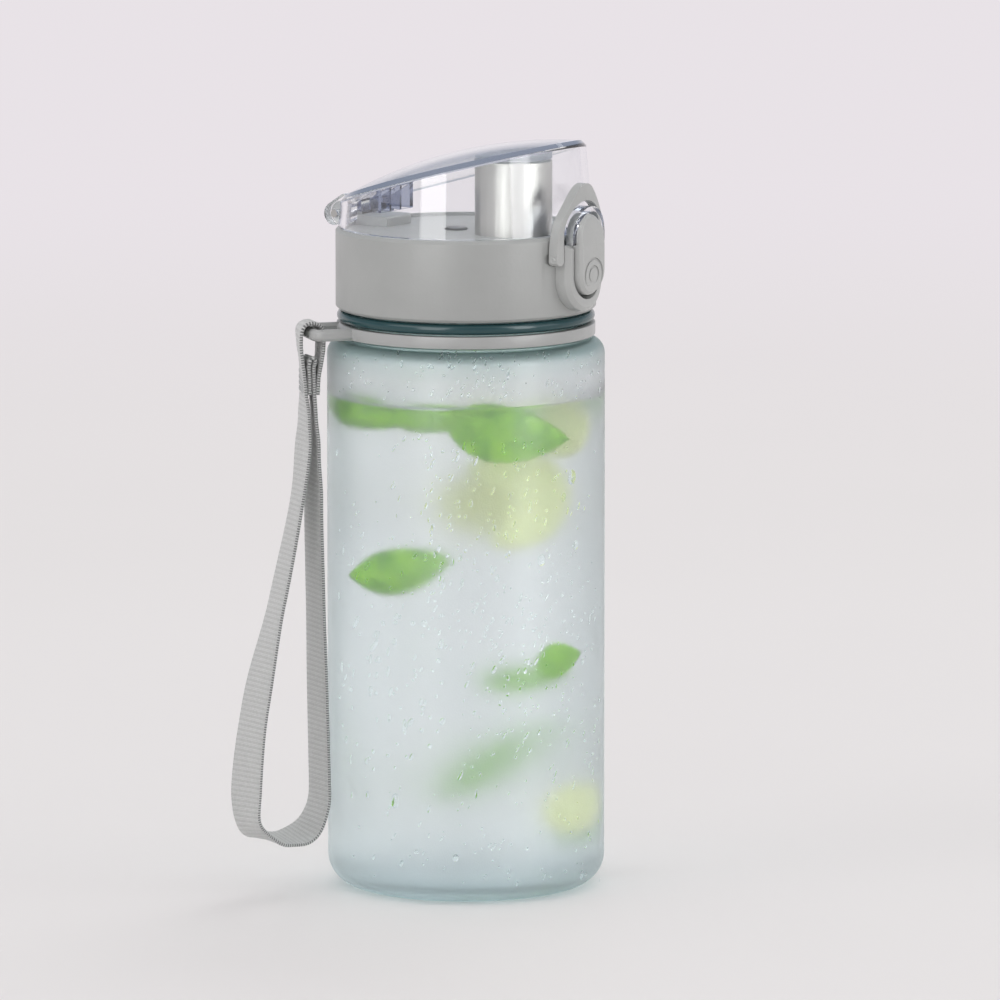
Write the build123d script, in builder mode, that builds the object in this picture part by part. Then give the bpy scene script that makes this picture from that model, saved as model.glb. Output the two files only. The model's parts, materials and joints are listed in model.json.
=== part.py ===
from build123d import *
import os
from math import cos, radians, sin, sqrt, tan

# Fruit infuser water bottle with a flip-top cap and a carry strap.
# Millimetres. +Z is up, the origin is the centre of the face that the bottle stands on.
# The latch is at -Y, the lid hinge at +Y, and the strap lug points between -X and +Y.

# General clearances
cut_over = 1.0  # how far every cutter runs past the faces that it cuts
fit_gap = 0.05  # pieces of one body that are pressed or bonded together
run_gap = 0.3  # pieces that move past each other
pin_gap = 0.06  # radial play of a pin in its bore
corner_steps = 4  # straight steps that make up a large round corner of a turned profile
inner_corner_steps = 2  # the same for the corners inside

# Bottle body
body_radius = 36.0
body_wall = 2.0
floor_thickness = 4.0
base_corner_radius = 8.0
shoulder_radius = 4.0
shoulder_height = 143.2
foot_ring_width = 4.0
foot_recess = 1.6
foot_recess_slope = 2.4
neck_inset = 5.8
neck_wall = 2.4
neck_step_width = 2.0
neck_step_height = 0.8

# Strap ring round the neck
ring_height = 3.1
ring_width = 3.0
ring_edge_chamfer = 0.8
lug_angle = 138.4
lug_length = 9.7
lug_half_width = 8.2
lug_arm_width = 2.4
lug_bar_width = 2.6
lug_corner_radius = 3.4

# Rubber ring between the strap ring and the cap
oring_section_radius = 1.5
oring_section_sides = 8

# Cap shell
cap_wall = 1.8
cap_height = 21.0
cap_corner_chamfer = 0.8
thread_room = 1.7
deck_thickness = 2.0
deck_drop = 0.9
collar_gap = 0.5
collar_wall = 1.5
collar_depth = 7.0
seal_thickness = 1.8
vent_radius = 1.6
vent_flange_radius = 3.0
vent_flange_thickness = 0.5
vent_spacing = 7.55

# Infuser strainer
strainer_wall = 1.2
strainer_rim_height = 5.0
strainer_depth = 20.5
strainer_taper = 4.0
strainer_floor_slots = 12
floor_slot_place_share = 0.6
floor_slot_length_share = 0.5
strainer_slot_count = 12
strainer_slot_width = 2.4
strainer_slot_height = 9.0
strainer_slot_lift = 3.0

# Spout and its plug
spout_radius = 9.9
spout_wall = 1.7
spout_inset = 1.45
spout_flange_width = 2.1
spout_flange_thickness = 1.4
spout_lip_chamfer = 0.5
plug_pad_edge = 0.5
plug_depth = 2.5
plug_play = 0.5
plug_taper_width = 1.2

# Lid
lid_inset = 0.8
lid_draft = 5.0
lid_wall = 1.7
lid_roof = 1.8
lid_height = 23.6
lid_edge_chamfer = 1.1
lid_back_height = 5.4
roof_radius = 108.4
tongue_half_width = 4.6
tongue_height = 5.0
tongue_proud = 0.8

# Hinge
hinge_outset = 0.7
hinge_lift = 2.3
hinge_pin_radius = 1.0
hinge_half_span = 11.0
knuckle_radius = 3.0
knuckle_split = 6.0
knuckle_web_rise = 4.5
hinge_block_length = 9.8
hinge_block_height = 2.6
hinge_block_fillet = 0.8
eye_ramp_share = 0.8
spring_bay_half = 3.4
hinge_spring_wire = 0.6
hinge_spring_radius = 2.2
spring_box_half_width = 7.6
spring_box_depth = 8.0
spring_box_height = 6.2
spring_box_gap = 1.2
spring_box_wall = 1.1
spring_box_rib = 0.8
spring_box_rib_count = 3

# Release button
button_half_width = 5.9
button_height = 20.9
button_lift = 5.7
button_back_gap = 0.9
button_crown = 5.3
button_toe_crown = 4.6
button_head_crown = 4.3
button_crown_height = 6.3
button_relief = 1.1
button_relief_height = 8.3
button_chamfer = 0.8
button_pivot_drop = 3.8
button_pivot_depth = 1.0
button_pin_radius = 0.8
press_height = 5.3
press_ring_radius = 4.45
press_ring_width = 0.7
press_ring_depth = 0.35
press_dot_radius = 2.5
hook_half_width = 3.2
hook_lift = 2.3
hook_height = 1.6
hook_reach = 0.6
button_spring_radius = 1.6
button_spring_wire = 0.45
button_spring_pocket = 1.9

# Latch housing and the clear hood over the button
housing_wall = 2.2
housing_proud = 3.7
housing_top_drop = 1.9
housing_toe = 3.1
housing_chamfer = 1.0
slot_side_gap = 0.4
slot_toe_gap = 1.1
hood_wall = 1.3
hood_side_gap = 0.5
hood_head_gap = 0.7
hood_proud = 4.5

# Lock bail that folds over the lid
bail_gap = 0.5
bail_thickness = 2.4
bail_side_gap = 0.4
bail_arm_width = 3.2
bail_pivot_drop = 3.5
bail_heel = 2.1
bail_window_gap = 1.4
bail_tip_height = 4.4
bail_shoulder_drop = 4.5
bail_shoulder_radius = 9.0
bail_tip_half_width = 3.4
bail_tip_radius = 3.0
bail_pin_radius = 0.8
bail_pin_depth = 2.2

# Strap of woven webbing
webbing_width = 10.0
webbing_thickness = 1.2
eye_gap = 0.35
bundle_layers = 4
bundle_drop = 5.0
bundle_length = 15.0
loop_drop = 123.0
loop_bottom_radius = 9.3
loop_side_radius = 120.0
loop_inner_offset_share = -0.17
loop_inner_share = ((0.0, 0.0), (0.02, 0.27), (0.06, 0.52), (0.09, 0.76))
loop_outer_share = ((1.0, 0.0), (0.93, 0.19), (0.60, 0.52), (0.29, 0.80))

# Radii, heights and places that follow from the sizes above
foot_ring_radius = body_radius - base_corner_radius - foot_ring_width
neck_radius = body_radius - neck_inset
neck_bore = neck_radius - neck_wall
body_bore = body_radius - body_wall
step_top = shoulder_height + neck_step_height
ring_bottom = step_top + run_gap
ring_top = ring_bottom + ring_height
ring_bore = neck_radius + run_gap
ring_radius = ring_bore + ring_width
lug_reach = ring_radius + lug_length
oring_z = ring_top + run_gap + oring_section_radius
oring_radius = neck_radius + run_gap + oring_section_radius
cap_bottom = oring_z + oring_section_radius + run_gap
cap_top = cap_bottom + cap_height
cap_bore = neck_radius + thread_room
cap_radius = cap_bore + cap_wall
deck_top = cap_top - deck_drop
deck_bottom = deck_top - deck_thickness
seal_bottom = deck_bottom - fit_gap - seal_thickness
neck_top = seal_bottom - run_gap
collar_radius = neck_bore - collar_gap
spout_place_y = spout_radius + spout_inset + collar_wall - collar_radius
vent_place_y = spout_place_y + spout_radius + vent_spacing
strainer_radius = collar_radius - collar_wall - run_gap
strainer_top = deck_bottom - spout_flange_thickness - run_gap
strainer_bottom = strainer_top - strainer_depth
lid_radius = cap_radius - lid_inset
lid_bottom = cap_top + run_gap
roof_peak_z = cap_top + lid_height
roof_fall = lid_height - lid_back_height
roof_peak_y = lid_radius - sqrt((roof_radius * 2 - roof_fall) * roof_fall)
roof_centre_z = roof_peak_z - roof_radius
roof_at_spout = roof_centre_z + sqrt(roof_radius**2 - (spout_place_y + spout_radius - roof_peak_y) ** 2)
spout_bore = spout_radius - spout_wall
spout_top = roof_at_spout - lid_roof - fit_gap - plug_pad_edge - run_gap
hinge_y = lid_radius + hinge_outset
hinge_z = cap_top + hinge_lift
block_half = knuckle_split - run_gap
button_bottom = cap_bottom + button_lift
button_top = button_bottom + button_height
button_back = cap_radius + button_back_gap
button_front = cap_radius + button_crown
button_pivot_z = cap_top - button_pivot_drop
button_pivot_y = -button_back - button_pivot_depth
press_z = button_bottom + press_height
slot_half_width = button_half_width + slot_side_gap
slot_bottom = button_bottom - slot_toe_gap
housing_half_width = slot_half_width + housing_wall
housing_radius = cap_radius + housing_proud
housing_top = cap_top - housing_top_drop
housing_bottom = slot_bottom - housing_toe
button_pin_half = housing_half_width - housing_wall / 2
hood_half_width = button_half_width + hood_side_gap + hood_wall
hood_top = button_top + hood_head_gap + hood_wall
hood_bottom = housing_top + fit_gap
hood_back_radius = cap_radius + bail_gap
hood_radius = cap_radius + hood_proud
bail_inner_radius = cap_radius + bail_gap
bail_outer_radius = bail_inner_radius + bail_thickness
bail_arm_inner = housing_half_width + bail_side_gap
bail_arm_outer = bail_arm_inner + bail_arm_width
bail_arm_mid = bail_arm_inner + bail_arm_width / 2
bail_pivot_z = housing_top - bail_pivot_drop
bail_pivot_y = -sqrt((bail_inner_radius + bail_thickness / 2) ** 2 - bail_arm_mid**2)
bail_window_top = hood_top + bail_window_gap
bail_tip = bail_window_top + bail_tip_height


def export_piece(piece, name):
    """Label a finished piece and write its STEP file."""
    piece.part.label = name
    export_step(piece.part, f"parts/{name}.step")


def round_corner(centre, radius, start, end, steps):
    """Points along a round corner of a turned profile, in short straight steps."""
    angles = [radians(start + (end - start) * step / steps) for step in range(steps + 1)]
    return [(centre[0] + radius * cos(angle), centre[1] + radius * sin(angle)) for angle in angles]


def bore_for(radius):
    """Radius of the hole that a pin of this radius turns in."""
    return radius + pin_gap


os.makedirs("parts", exist_ok=True)

# Bottle body: straight wall, rounded foot, flat shoulder, plain neck and a recessed underside
cavity_shoulder = shoulder_height - body_wall
inner_base_radius = base_corner_radius - body_wall
inner_shoulder_radius = shoulder_radius - body_wall
with BuildPart() as bottle_body:
    with BuildSketch(Plane.XZ):
        with BuildLine():
            Polyline(
                (0, foot_recess),
                (foot_ring_radius - foot_recess_slope, foot_recess),
                (foot_ring_radius, 0),
                *round_corner(
                    (body_radius - base_corner_radius, base_corner_radius), base_corner_radius, -90, 0, corner_steps
                ),
                *round_corner(
                    (body_radius - shoulder_radius, shoulder_height - shoulder_radius),
                    shoulder_radius, 0, 90, corner_steps - 1,
                ),
                (neck_radius + neck_step_width, shoulder_height),
                (neck_radius + neck_step_width, step_top),
                (neck_radius, step_top),
                (neck_radius, neck_top),
                (neck_bore, neck_top),
                (neck_bore, cavity_shoulder),
                *round_corner(
                    (body_bore - inner_shoulder_radius, cavity_shoulder - inner_shoulder_radius),
                    inner_shoulder_radius, 90, 0, inner_corner_steps - 1,
                ),
                *round_corner(
                    (body_bore - inner_base_radius, floor_thickness + inner_base_radius),
                    inner_base_radius, 0, -90, inner_corner_steps,
                ),
                (0, floor_thickness),
                close=True,
            )
        make_face()
    revolve(axis=Axis.Z)
export_piece(bottle_body, "bottle_body")

# Strap ring: turns on the neck and carries the webbing on an outstanding lug
lug_direction = Vector(cos(radians(lug_angle)), sin(radians(lug_angle)), 0)
lug_plane = Plane(origin=(0, 0, ring_bottom), x_dir=lug_direction, z_dir=(0, 0, 1))
bar_inner = lug_reach - lug_bar_width
with BuildPart() as strap_ring:
    with BuildSketch(lug_plane) as lug_outline:
        Rectangle(lug_reach, lug_half_width * 2, align=(Align.MIN, Align.CENTER))
        fillet(lug_outline.vertices().group_by(Axis.X)[-1], lug_corner_radius)
        Circle(ring_radius)
    extrude(amount=ring_height)
    with BuildSketch(lug_plane) as lug_window:
        Rectangle(bar_inner, (lug_half_width - lug_arm_width) * 2, align=(Align.MIN, Align.CENTER))
        Circle(ring_radius, mode=Mode.SUBTRACT)
        Circle(ring_bore)
    extrude(amount=ring_height, mode=Mode.SUBTRACT)
    flat_edges = strap_ring.faces().filter_by(Axis.Z).edges()
    bore_edges = flat_edges.filter_by(GeomType.CIRCLE).group_by(SortBy.LENGTH)[-1]
    chamfer([edge for edge in flat_edges if edge not in bore_edges], ring_edge_chamfer)
export_piece(strap_ring, "strap_ring")

# Rubber ring of round section that lies on the strap ring under the cap
with BuildPart() as neck_oring:
    with BuildSketch(Plane.XZ):
        with Locations((oring_radius, oring_z)):
            RegularPolygon(oring_section_radius, oring_section_sides, rotation=180 / oring_section_sides)
    revolve(axis=Axis.Z)
export_piece(neck_oring, "neck_oring")

# Cap shell: skirt, recessed deck, inner sealing collar, and reliefs for the hinge and the bail
with BuildPart() as cap_shell:
    with BuildSketch(Plane.XZ) as skirt:
        with BuildLine():
            Polyline(
                (cap_bore, cap_bottom),
                (cap_radius, cap_bottom),
                (cap_radius, cap_top),
                (cap_bore, cap_top),
                (cap_bore, deck_top),
                (0, deck_top),
                (0, deck_bottom),
                (collar_radius - collar_wall, deck_bottom),
                (collar_radius - collar_wall, deck_bottom - collar_depth),
                (collar_radius, deck_bottom - collar_depth),
                (collar_radius, deck_bottom),
                (cap_bore, deck_bottom),
                close=True,
            )
        make_face()
        skirt_corners = skirt.vertices().group_by(Axis.X)[-1]
        chamfer(skirt_corners, cap_corner_chamfer)
    revolve(axis=Axis.Z)
    with BuildSketch(Plane.XY.offset(deck_bottom)):
        with Locations((0, spout_place_y)):
            Circle(spout_radius + fit_gap)
        with Locations((0, vent_place_y)):
            Circle(vent_radius + fit_gap)
    extrude(amount=deck_thickness, mode=Mode.SUBTRACT)
    # reliefs that the lid knuckles turn in
    with BuildSketch(Plane.YZ.offset(-hinge_half_span - run_gap)):
        with Locations((hinge_y, hinge_z)):
            Circle(knuckle_radius + run_gap)
    extrude(amount=(hinge_half_span + run_gap) * 2, mode=Mode.SUBTRACT)
    # pockets that the heels of the bail turn in
    for side in (-1, 1):
        with BuildSketch(Plane.YZ.offset(side * (bail_arm_inner - run_gap))):
            with Locations((bail_pivot_y, bail_pivot_z)):
                Circle(bail_heel + run_gap)
        extrude(amount=side * (bail_arm_width + run_gap * 2), mode=Mode.SUBTRACT)
export_piece(cap_shell, "cap_shell")

# Cap seal: flat silicone washer round the collar, just above the neck
with BuildPart() as cap_seal:
    with BuildSketch(Plane.XY.offset(seal_bottom)):
        Circle(neck_radius - fit_gap)
        Circle(collar_radius + fit_gap, mode=Mode.SUBTRACT)
    extrude(amount=seal_thickness)
export_piece(cap_seal, "cap_seal")

# Vent valve: soft mushroom that lets air in through the deck
with BuildPart() as vent_valve:
    with BuildSketch(Plane.XY.offset(deck_bottom)):
        with Locations((0, vent_place_y)):
            Circle(vent_radius)
    extrude(amount=deck_thickness)
    with BuildSketch(Plane.XY.offset(deck_top)):
        with Locations((0, vent_place_y)):
            Circle(vent_flange_radius)
    extrude(amount=vent_flange_thickness)
    chamfer(vent_valve.faces().sort_by(Axis.Z)[-1].edges(), vent_flange_thickness / 2)
export_piece(vent_valve, "vent_valve")

# Spout: a straight drinking tube with a flange under the deck
with BuildPart() as spout:
    with BuildSketch(Plane.XY.offset(deck_bottom)):
        with Locations((0, spout_place_y)):
            Circle(spout_radius)
    extrude(amount=spout_top - deck_bottom)
    with BuildSketch(Plane.XY.offset(deck_bottom - spout_flange_thickness)):
        with Locations((0, spout_place_y)):
            Circle(spout_radius + spout_flange_width)
        Circle(collar_radius - collar_wall - fit_gap, mode=Mode.INTERSECT)
    extrude(amount=spout_flange_thickness)
    with BuildSketch(Plane.XY.offset(deck_bottom - spout_flange_thickness)):
        with Locations((0, spout_place_y)):
            Circle(spout_bore)
    extrude(amount=spout_top - deck_bottom + spout_flange_thickness, mode=Mode.SUBTRACT)
    chamfer(spout.faces().sort_by(Axis.Z)[-1].edges(), spout_lip_chamfer)
export_piece(spout, "spout")

# Infuser strainer: perforated cup that clips into the collar under the cap
with BuildPart() as infuser_strainer:
    cup_height = strainer_depth - strainer_rim_height
    cup_radius = strainer_radius - strainer_wall
    floor_radius = cup_radius - cup_height * tan(radians(strainer_taper))
    rim_bottom = strainer_top - strainer_rim_height
    with BuildSketch(Plane.XZ):
        with BuildLine():
            Polyline(
                (0, strainer_bottom),
                (floor_radius, strainer_bottom),
                (cup_radius, rim_bottom),
                (strainer_radius, rim_bottom),
                (strainer_radius, strainer_top),
                (strainer_radius - strainer_wall, strainer_top),
                (cup_radius - strainer_wall, rim_bottom),
                (floor_radius - strainer_wall, strainer_bottom + strainer_wall),
                (0, strainer_bottom + strainer_wall),
                close=True,
            )
        make_face()
    revolve(axis=Axis.Z)
    # radial slots in the floor
    with BuildSketch(Plane.XY.offset(strainer_bottom)):
        with PolarLocations(floor_radius * floor_slot_place_share, strainer_floor_slots):
            Rectangle(floor_radius * floor_slot_length_share, strainer_slot_width)
    extrude(amount=strainer_wall, mode=Mode.SUBTRACT)
    # upright slots round the wall
    with BuildSketch(Plane.XY.offset(strainer_bottom + strainer_slot_lift)):
        with PolarLocations(floor_radius, strainer_slot_count):
            Rectangle(floor_radius / 2, strainer_slot_width)
    extrude(amount=strainer_slot_height, mode=Mode.SUBTRACT)
export_piece(infuser_strainer, "infuser_strainer")


def roof_ball(drop):
    """Ball whose upper skin is the lid's domed, slanting roof, lowered by a thickness."""
    with BuildPart() as ball:
        with Locations(Location((0, roof_peak_y, roof_centre_z), (90, 0, 0))):
            Sphere(roof_radius - drop)
    return ball.part


def domed_solid(radius, bottom, drop):
    """Drafted round wall under the domed roof: the outside or the hollow of the lid."""
    with BuildPart() as dome:
        with BuildSketch(Plane.XY.offset(bottom)):
            Circle(radius)
        extrude(amount=roof_peak_z - bottom + cut_over, taper=lid_draft)
        add(roof_ball(drop), mode=Mode.INTERSECT)
    return dome.part


# Lid: clear dome with a slanting roof, hinge knuckles at the back and a tongue at the front
lid_outside = domed_solid(lid_radius, lid_bottom, 0)
hollow_radius = lid_radius - lid_wall + cut_over * tan(radians(lid_draft))
lid_hollow = domed_solid(hollow_radius, lid_bottom - cut_over, lid_roof)
with BuildPart() as lid_shell:
    add(lid_outside)
    chamfer(lid_shell.faces().filter_by(GeomType.SPHERE).edges(), lid_edge_chamfer)
    with BuildSketch(Plane.XZ.offset(lid_radius - lid_wall)):
        with Locations((0, lid_bottom)):
            Rectangle(tongue_half_width * 2, tongue_height, align=(Align.CENTER, Align.MIN))
    extrude(amount=tongue_proud + lid_wall)
    web_top = hinge_z + knuckle_web_rise
    web_y = lid_radius - (web_top - lid_bottom) * tan(radians(lid_draft)) - lid_wall
    for side in (-1, 1):
        with BuildSketch(Plane.YZ.offset(side * (knuckle_split + fit_gap))):
            with Locations((hinge_y, hinge_z)):
                Circle(knuckle_radius)
            with Locations((web_y, web_top)):
                Circle(lid_wall / 2)
            make_hull()
        extrude(amount=side * (hinge_half_span - knuckle_split - fit_gap))
    add(lid_hollow, mode=Mode.SUBTRACT)
    notch_top = hinge_z + knuckle_radius + run_gap
    with BuildSketch(Plane.XZ.offset(-hinge_y - knuckle_radius - cut_over)):
        with Locations((0, lid_bottom - cut_over)):
            Rectangle(knuckle_split * 2, notch_top - lid_bottom + cut_over, align=(Align.CENTER, Align.MIN))
    extrude(amount=knuckle_radius * 2 + cut_over * 2, mode=Mode.SUBTRACT)
    with BuildSketch(Plane.YZ.offset(-hinge_half_span - cut_over)):
        with Locations((hinge_y, hinge_z)):
            Circle(bore_for(hinge_pin_radius))
    extrude(amount=(hinge_half_span + cut_over) * 2, mode=Mode.SUBTRACT)
export_piece(lid_shell, "lid_shell")

# Spring cover: ribbed clear box under the roof, over the hinge spring
box_bottom = deck_top + hinge_block_height + spring_box_gap
box_front = hinge_y - knuckle_radius - spring_box_gap - spring_box_depth
with BuildPart() as spring_cover:
    with BuildSketch(Plane.XY.offset(box_bottom)):
        with Locations((0, box_front)):
            Rectangle(spring_box_half_width * 2, spring_box_depth, align=(Align.CENTER, Align.MIN))
    extrude(amount=roof_peak_z - box_bottom)
    cell_length = (spring_box_half_width * 2 - spring_box_rib * (spring_box_rib_count + 1)) / spring_box_rib_count
    cell_depth = spring_box_depth - spring_box_wall * 2
    with BuildSketch(Plane.XY.offset(box_bottom - cut_over)):
        with Locations((0, box_front + spring_box_depth / 2)):
            with GridLocations(cell_length + spring_box_rib, 0, spring_box_rib_count, 1):
                Rectangle(cell_length, cell_depth)
    extrude(amount=spring_box_height + cut_over, mode=Mode.SUBTRACT)
    add(roof_ball(lid_roof + fit_gap), mode=Mode.INTERSECT)
export_piece(spring_cover, "spring_cover")

# Spout plug: soft pad under the roof with a tapered nose that stops the spout
with BuildPart() as spout_plug:
    with BuildSketch(Plane.XY.offset(spout_top + run_gap)):
        with Locations((0, spout_place_y)):
            Circle(spout_radius)
    extrude(amount=roof_peak_z - spout_top)
    plug_radius = spout_bore - plug_play
    with BuildSketch(Plane.XZ.offset(-spout_place_y)):
        with BuildLine():
            Polyline(
                (0, spout_top + run_gap),
                (plug_radius, spout_top + run_gap),
                (plug_radius - plug_taper_width, spout_top - plug_depth),
                (0, spout_top - plug_depth),
                close=True,
            )
        make_face()
    revolve(axis=Axis((0, spout_place_y, 0), (0, 0, 1)))
    add(roof_ball(lid_roof + fit_gap), mode=Mode.INTERSECT)
export_piece(spout_plug, "spout_plug")

# Hinge block: grey bracket on the deck with two eyes and a bay for the spring
with BuildPart() as hinge_block:
    block_front = hinge_y - knuckle_radius - hinge_block_length
    block_back = sqrt(cap_bore**2 - block_half**2) - fit_gap
    block_top = deck_top + hinge_block_height
    with BuildSketch(Plane.YZ.offset(-block_half)):
        with BuildLine():
            Polyline(
                (block_front, deck_top),
                (block_back, deck_top),
                (block_back, hinge_z),
                (hinge_y, hinge_z),
                (hinge_y - knuckle_radius / 2, hinge_z + knuckle_radius * eye_ramp_share),
                (hinge_y - knuckle_radius, block_top),
                (block_front, block_top),
                close=True,
            )
        make_face()
        with Locations((hinge_y, hinge_z)):
            Circle(knuckle_radius)
    extrude(amount=block_half * 2)
    fillet(hinge_block.edges().filter_by(Axis.X).group_by(Axis.Y)[0].sort_by(Axis.Z)[-1], hinge_block_fillet)
    with BuildSketch(Plane.YZ.offset(-spring_bay_half)):
        with Locations((hinge_y, hinge_z)):
            Circle(knuckle_radius + run_gap)
    extrude(amount=spring_bay_half * 2, mode=Mode.SUBTRACT)
    with BuildSketch(Plane.YZ.offset(-block_half - cut_over)):
        with Locations((hinge_y, hinge_z)):
            Circle(hinge_pin_radius + fit_gap)
    extrude(amount=(block_half + cut_over) * 2, mode=Mode.SUBTRACT)
export_piece(hinge_block, "hinge_block")

# Hinge pin: steel wire through the lid knuckles and the block
with BuildPart() as hinge_pin:
    with BuildSketch(Plane.YZ.offset(-hinge_half_span)):
        with Locations((hinge_y, hinge_z)):
            Circle(hinge_pin_radius)
    extrude(amount=hinge_half_span * 2)
export_piece(hinge_pin, "hinge_pin")

# Hinge spring: close-wound torsion spring round the pin, as the sleeve that it fills
with BuildPart() as hinge_spring:
    with BuildSketch(Plane.YZ.offset(-spring_bay_half + fit_gap)):
        with Locations((hinge_y, hinge_z)):
            Circle(hinge_spring_radius + hinge_spring_wire / 2)
            Circle(hinge_spring_radius - hinge_spring_wire / 2, mode=Mode.SUBTRACT)
    extrude(amount=(spring_bay_half - fit_gap) * 2)
export_piece(hinge_spring, "hinge_spring")


def round_ended(half_width, low, high):
    """Sketch of an upright strip with half-round ends between two heights."""
    with BuildSketch(mode=Mode.PRIVATE) as strip:
        with Locations((0, (low + high) / 2)):
            SlotOverall(high - low, half_width * 2, rotation=90)
    return strip.sketch


# Latch housing: shield-shaped bump on the skirt with a slot that holds the button
with BuildPart() as latch_housing:
    with BuildSketch(Plane.XZ.offset(cap_bore)):
        add(round_ended(housing_half_width, housing_bottom, housing_top + housing_half_width))
        with Locations((0, housing_top)):
            Rectangle(housing_half_width * 2, housing_half_width, align=(Align.CENTER, Align.MIN), mode=Mode.SUBTRACT)
    extrude(amount=housing_radius - cap_bore)
    with BuildSketch(Plane.XY.offset(housing_bottom)):
        Circle(housing_radius)
        Circle(cap_radius + fit_gap, mode=Mode.SUBTRACT)
    extrude(amount=housing_top - housing_bottom, mode=Mode.INTERSECT)
    front = latch_housing.faces().filter_by(GeomType.CYLINDER).sort_by(Axis.Y)[0]
    chamfer(front.edges(), housing_chamfer)
    with BuildSketch(Plane.XZ.offset(cap_bore)):
        add(round_ended(slot_half_width, slot_bottom, housing_top + slot_half_width * 2))
    extrude(amount=housing_radius, mode=Mode.SUBTRACT)
    with BuildSketch(Plane.YZ.offset(-button_pin_half)):
        with Locations((button_pivot_y, button_pivot_z)):
            Circle(button_pin_radius + fit_gap)
    extrude(amount=button_pin_half * 2, mode=Mode.SUBTRACT)
    for side in (-1, 1):
        with BuildSketch(Plane.YZ.offset(side * (housing_half_width - bail_pin_depth / 2))):
            with Locations((bail_pivot_y, bail_pivot_z)):
                Circle(bail_pin_radius + fit_gap)
        extrude(amount=side * bail_pin_depth, mode=Mode.SUBTRACT)
export_piece(latch_housing, "latch_housing")

# Clear hood that arches over the head of the button and stands on the cheeks
with BuildPart() as latch_hood:
    with BuildSketch(Plane.XZ.offset(cap_bore)):
        hood_low = hood_bottom - hood_half_width
        add(round_ended(hood_half_width, hood_low, hood_top))
        add(round_ended(hood_half_width - hood_wall, hood_low, hood_top - hood_wall), mode=Mode.SUBTRACT)
        with Locations((0, hood_bottom)):
            Rectangle(hood_half_width * 2, hood_half_width * 2, align=(Align.CENTER, Align.MAX), mode=Mode.SUBTRACT)
    extrude(amount=hood_radius - cap_bore)
    with BuildSketch(Plane.XY.offset(hood_bottom)):
        Circle(hood_radius)
        Circle(hood_back_radius, mode=Mode.SUBTRACT)
    extrude(amount=hood_top - hood_bottom, mode=Mode.INTERSECT)
export_piece(latch_hood, "latch_hood")

# Release button: rocker with pressed rings, a hook above its pivot and a pocket for its spring
with BuildPart() as release_button:
    with BuildSketch(Plane.XZ.offset(button_back)):
        add(round_ended(button_half_width, button_bottom, button_top))
    extrude(amount=button_front - button_back)
    with BuildSketch(Plane.YZ.offset(-button_half_width)):
        with BuildLine():
            toe = (-cap_radius - button_toe_crown, button_bottom)
            head = (-cap_radius - button_head_crown, button_top)
            ThreePointArc(toe, (-button_front, button_bottom + button_crown_height), head)
            Polyline(
                head,
                (-button_back, button_top),
                (-button_back, button_bottom + button_relief_height),
                (-button_back - button_relief, button_bottom),
                toe,
            )
        make_face()
    extrude(amount=button_half_width * 2, mode=Mode.INTERSECT)
    front = release_button.faces().sort_by(Axis.Y)[0]
    chamfer(front.edges(), button_chamfer)
    with BuildSketch(Plane.XZ.offset(button_front - press_ring_depth)):
        with Locations((0, press_z)):
            Circle(press_ring_radius)
            Circle(press_ring_radius - press_ring_width, mode=Mode.SUBTRACT)
            Circle(press_dot_radius)
            Circle(press_dot_radius - press_ring_width, mode=Mode.SUBTRACT)
    extrude(amount=press_ring_depth, mode=Mode.SUBTRACT)
    with BuildSketch(Plane.XZ.offset(button_back - hook_reach)):
        with Locations((0, lid_bottom + hook_lift)):
            Rectangle(hook_half_width * 2, hook_height, align=(Align.CENTER, Align.MIN))
    extrude(amount=hook_reach)
    with BuildSketch(Plane.XZ.offset(button_back)):
        with Locations((0, press_z)):
            Circle(button_spring_radius + run_gap)
    extrude(amount=button_spring_pocket + button_relief, mode=Mode.SUBTRACT)
    with BuildSketch(Plane.YZ.offset(-button_half_width)):
        with Locations((button_pivot_y, button_pivot_z)):
            Circle(bore_for(button_pin_radius))
    extrude(amount=button_half_width * 2, mode=Mode.SUBTRACT)
export_piece(release_button, "release_button")

# Button pin: the rocker's steel axle between the cheeks
with BuildPart() as button_pin:
    with BuildSketch(Plane.YZ.offset(-button_pin_half + fit_gap)):
        with Locations((button_pivot_y, button_pivot_z)):
            Circle(button_pin_radius)
    extrude(amount=(button_pin_half - fit_gap) * 2)
export_piece(button_pin, "button_pin")

# Button spring: short compression spring between the skirt and the button's pocket
with BuildPart() as button_spring:
    with BuildSketch(Plane.XZ.offset(cap_radius + fit_gap)):
        with Locations((0, press_z)):
            Circle(button_spring_radius)
            Circle(button_spring_radius - button_spring_wire, mode=Mode.SUBTRACT)
    extrude(amount=button_back + button_spring_pocket + button_relief - cap_radius - fit_gap * 2)
export_piece(button_spring, "button_spring")

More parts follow.
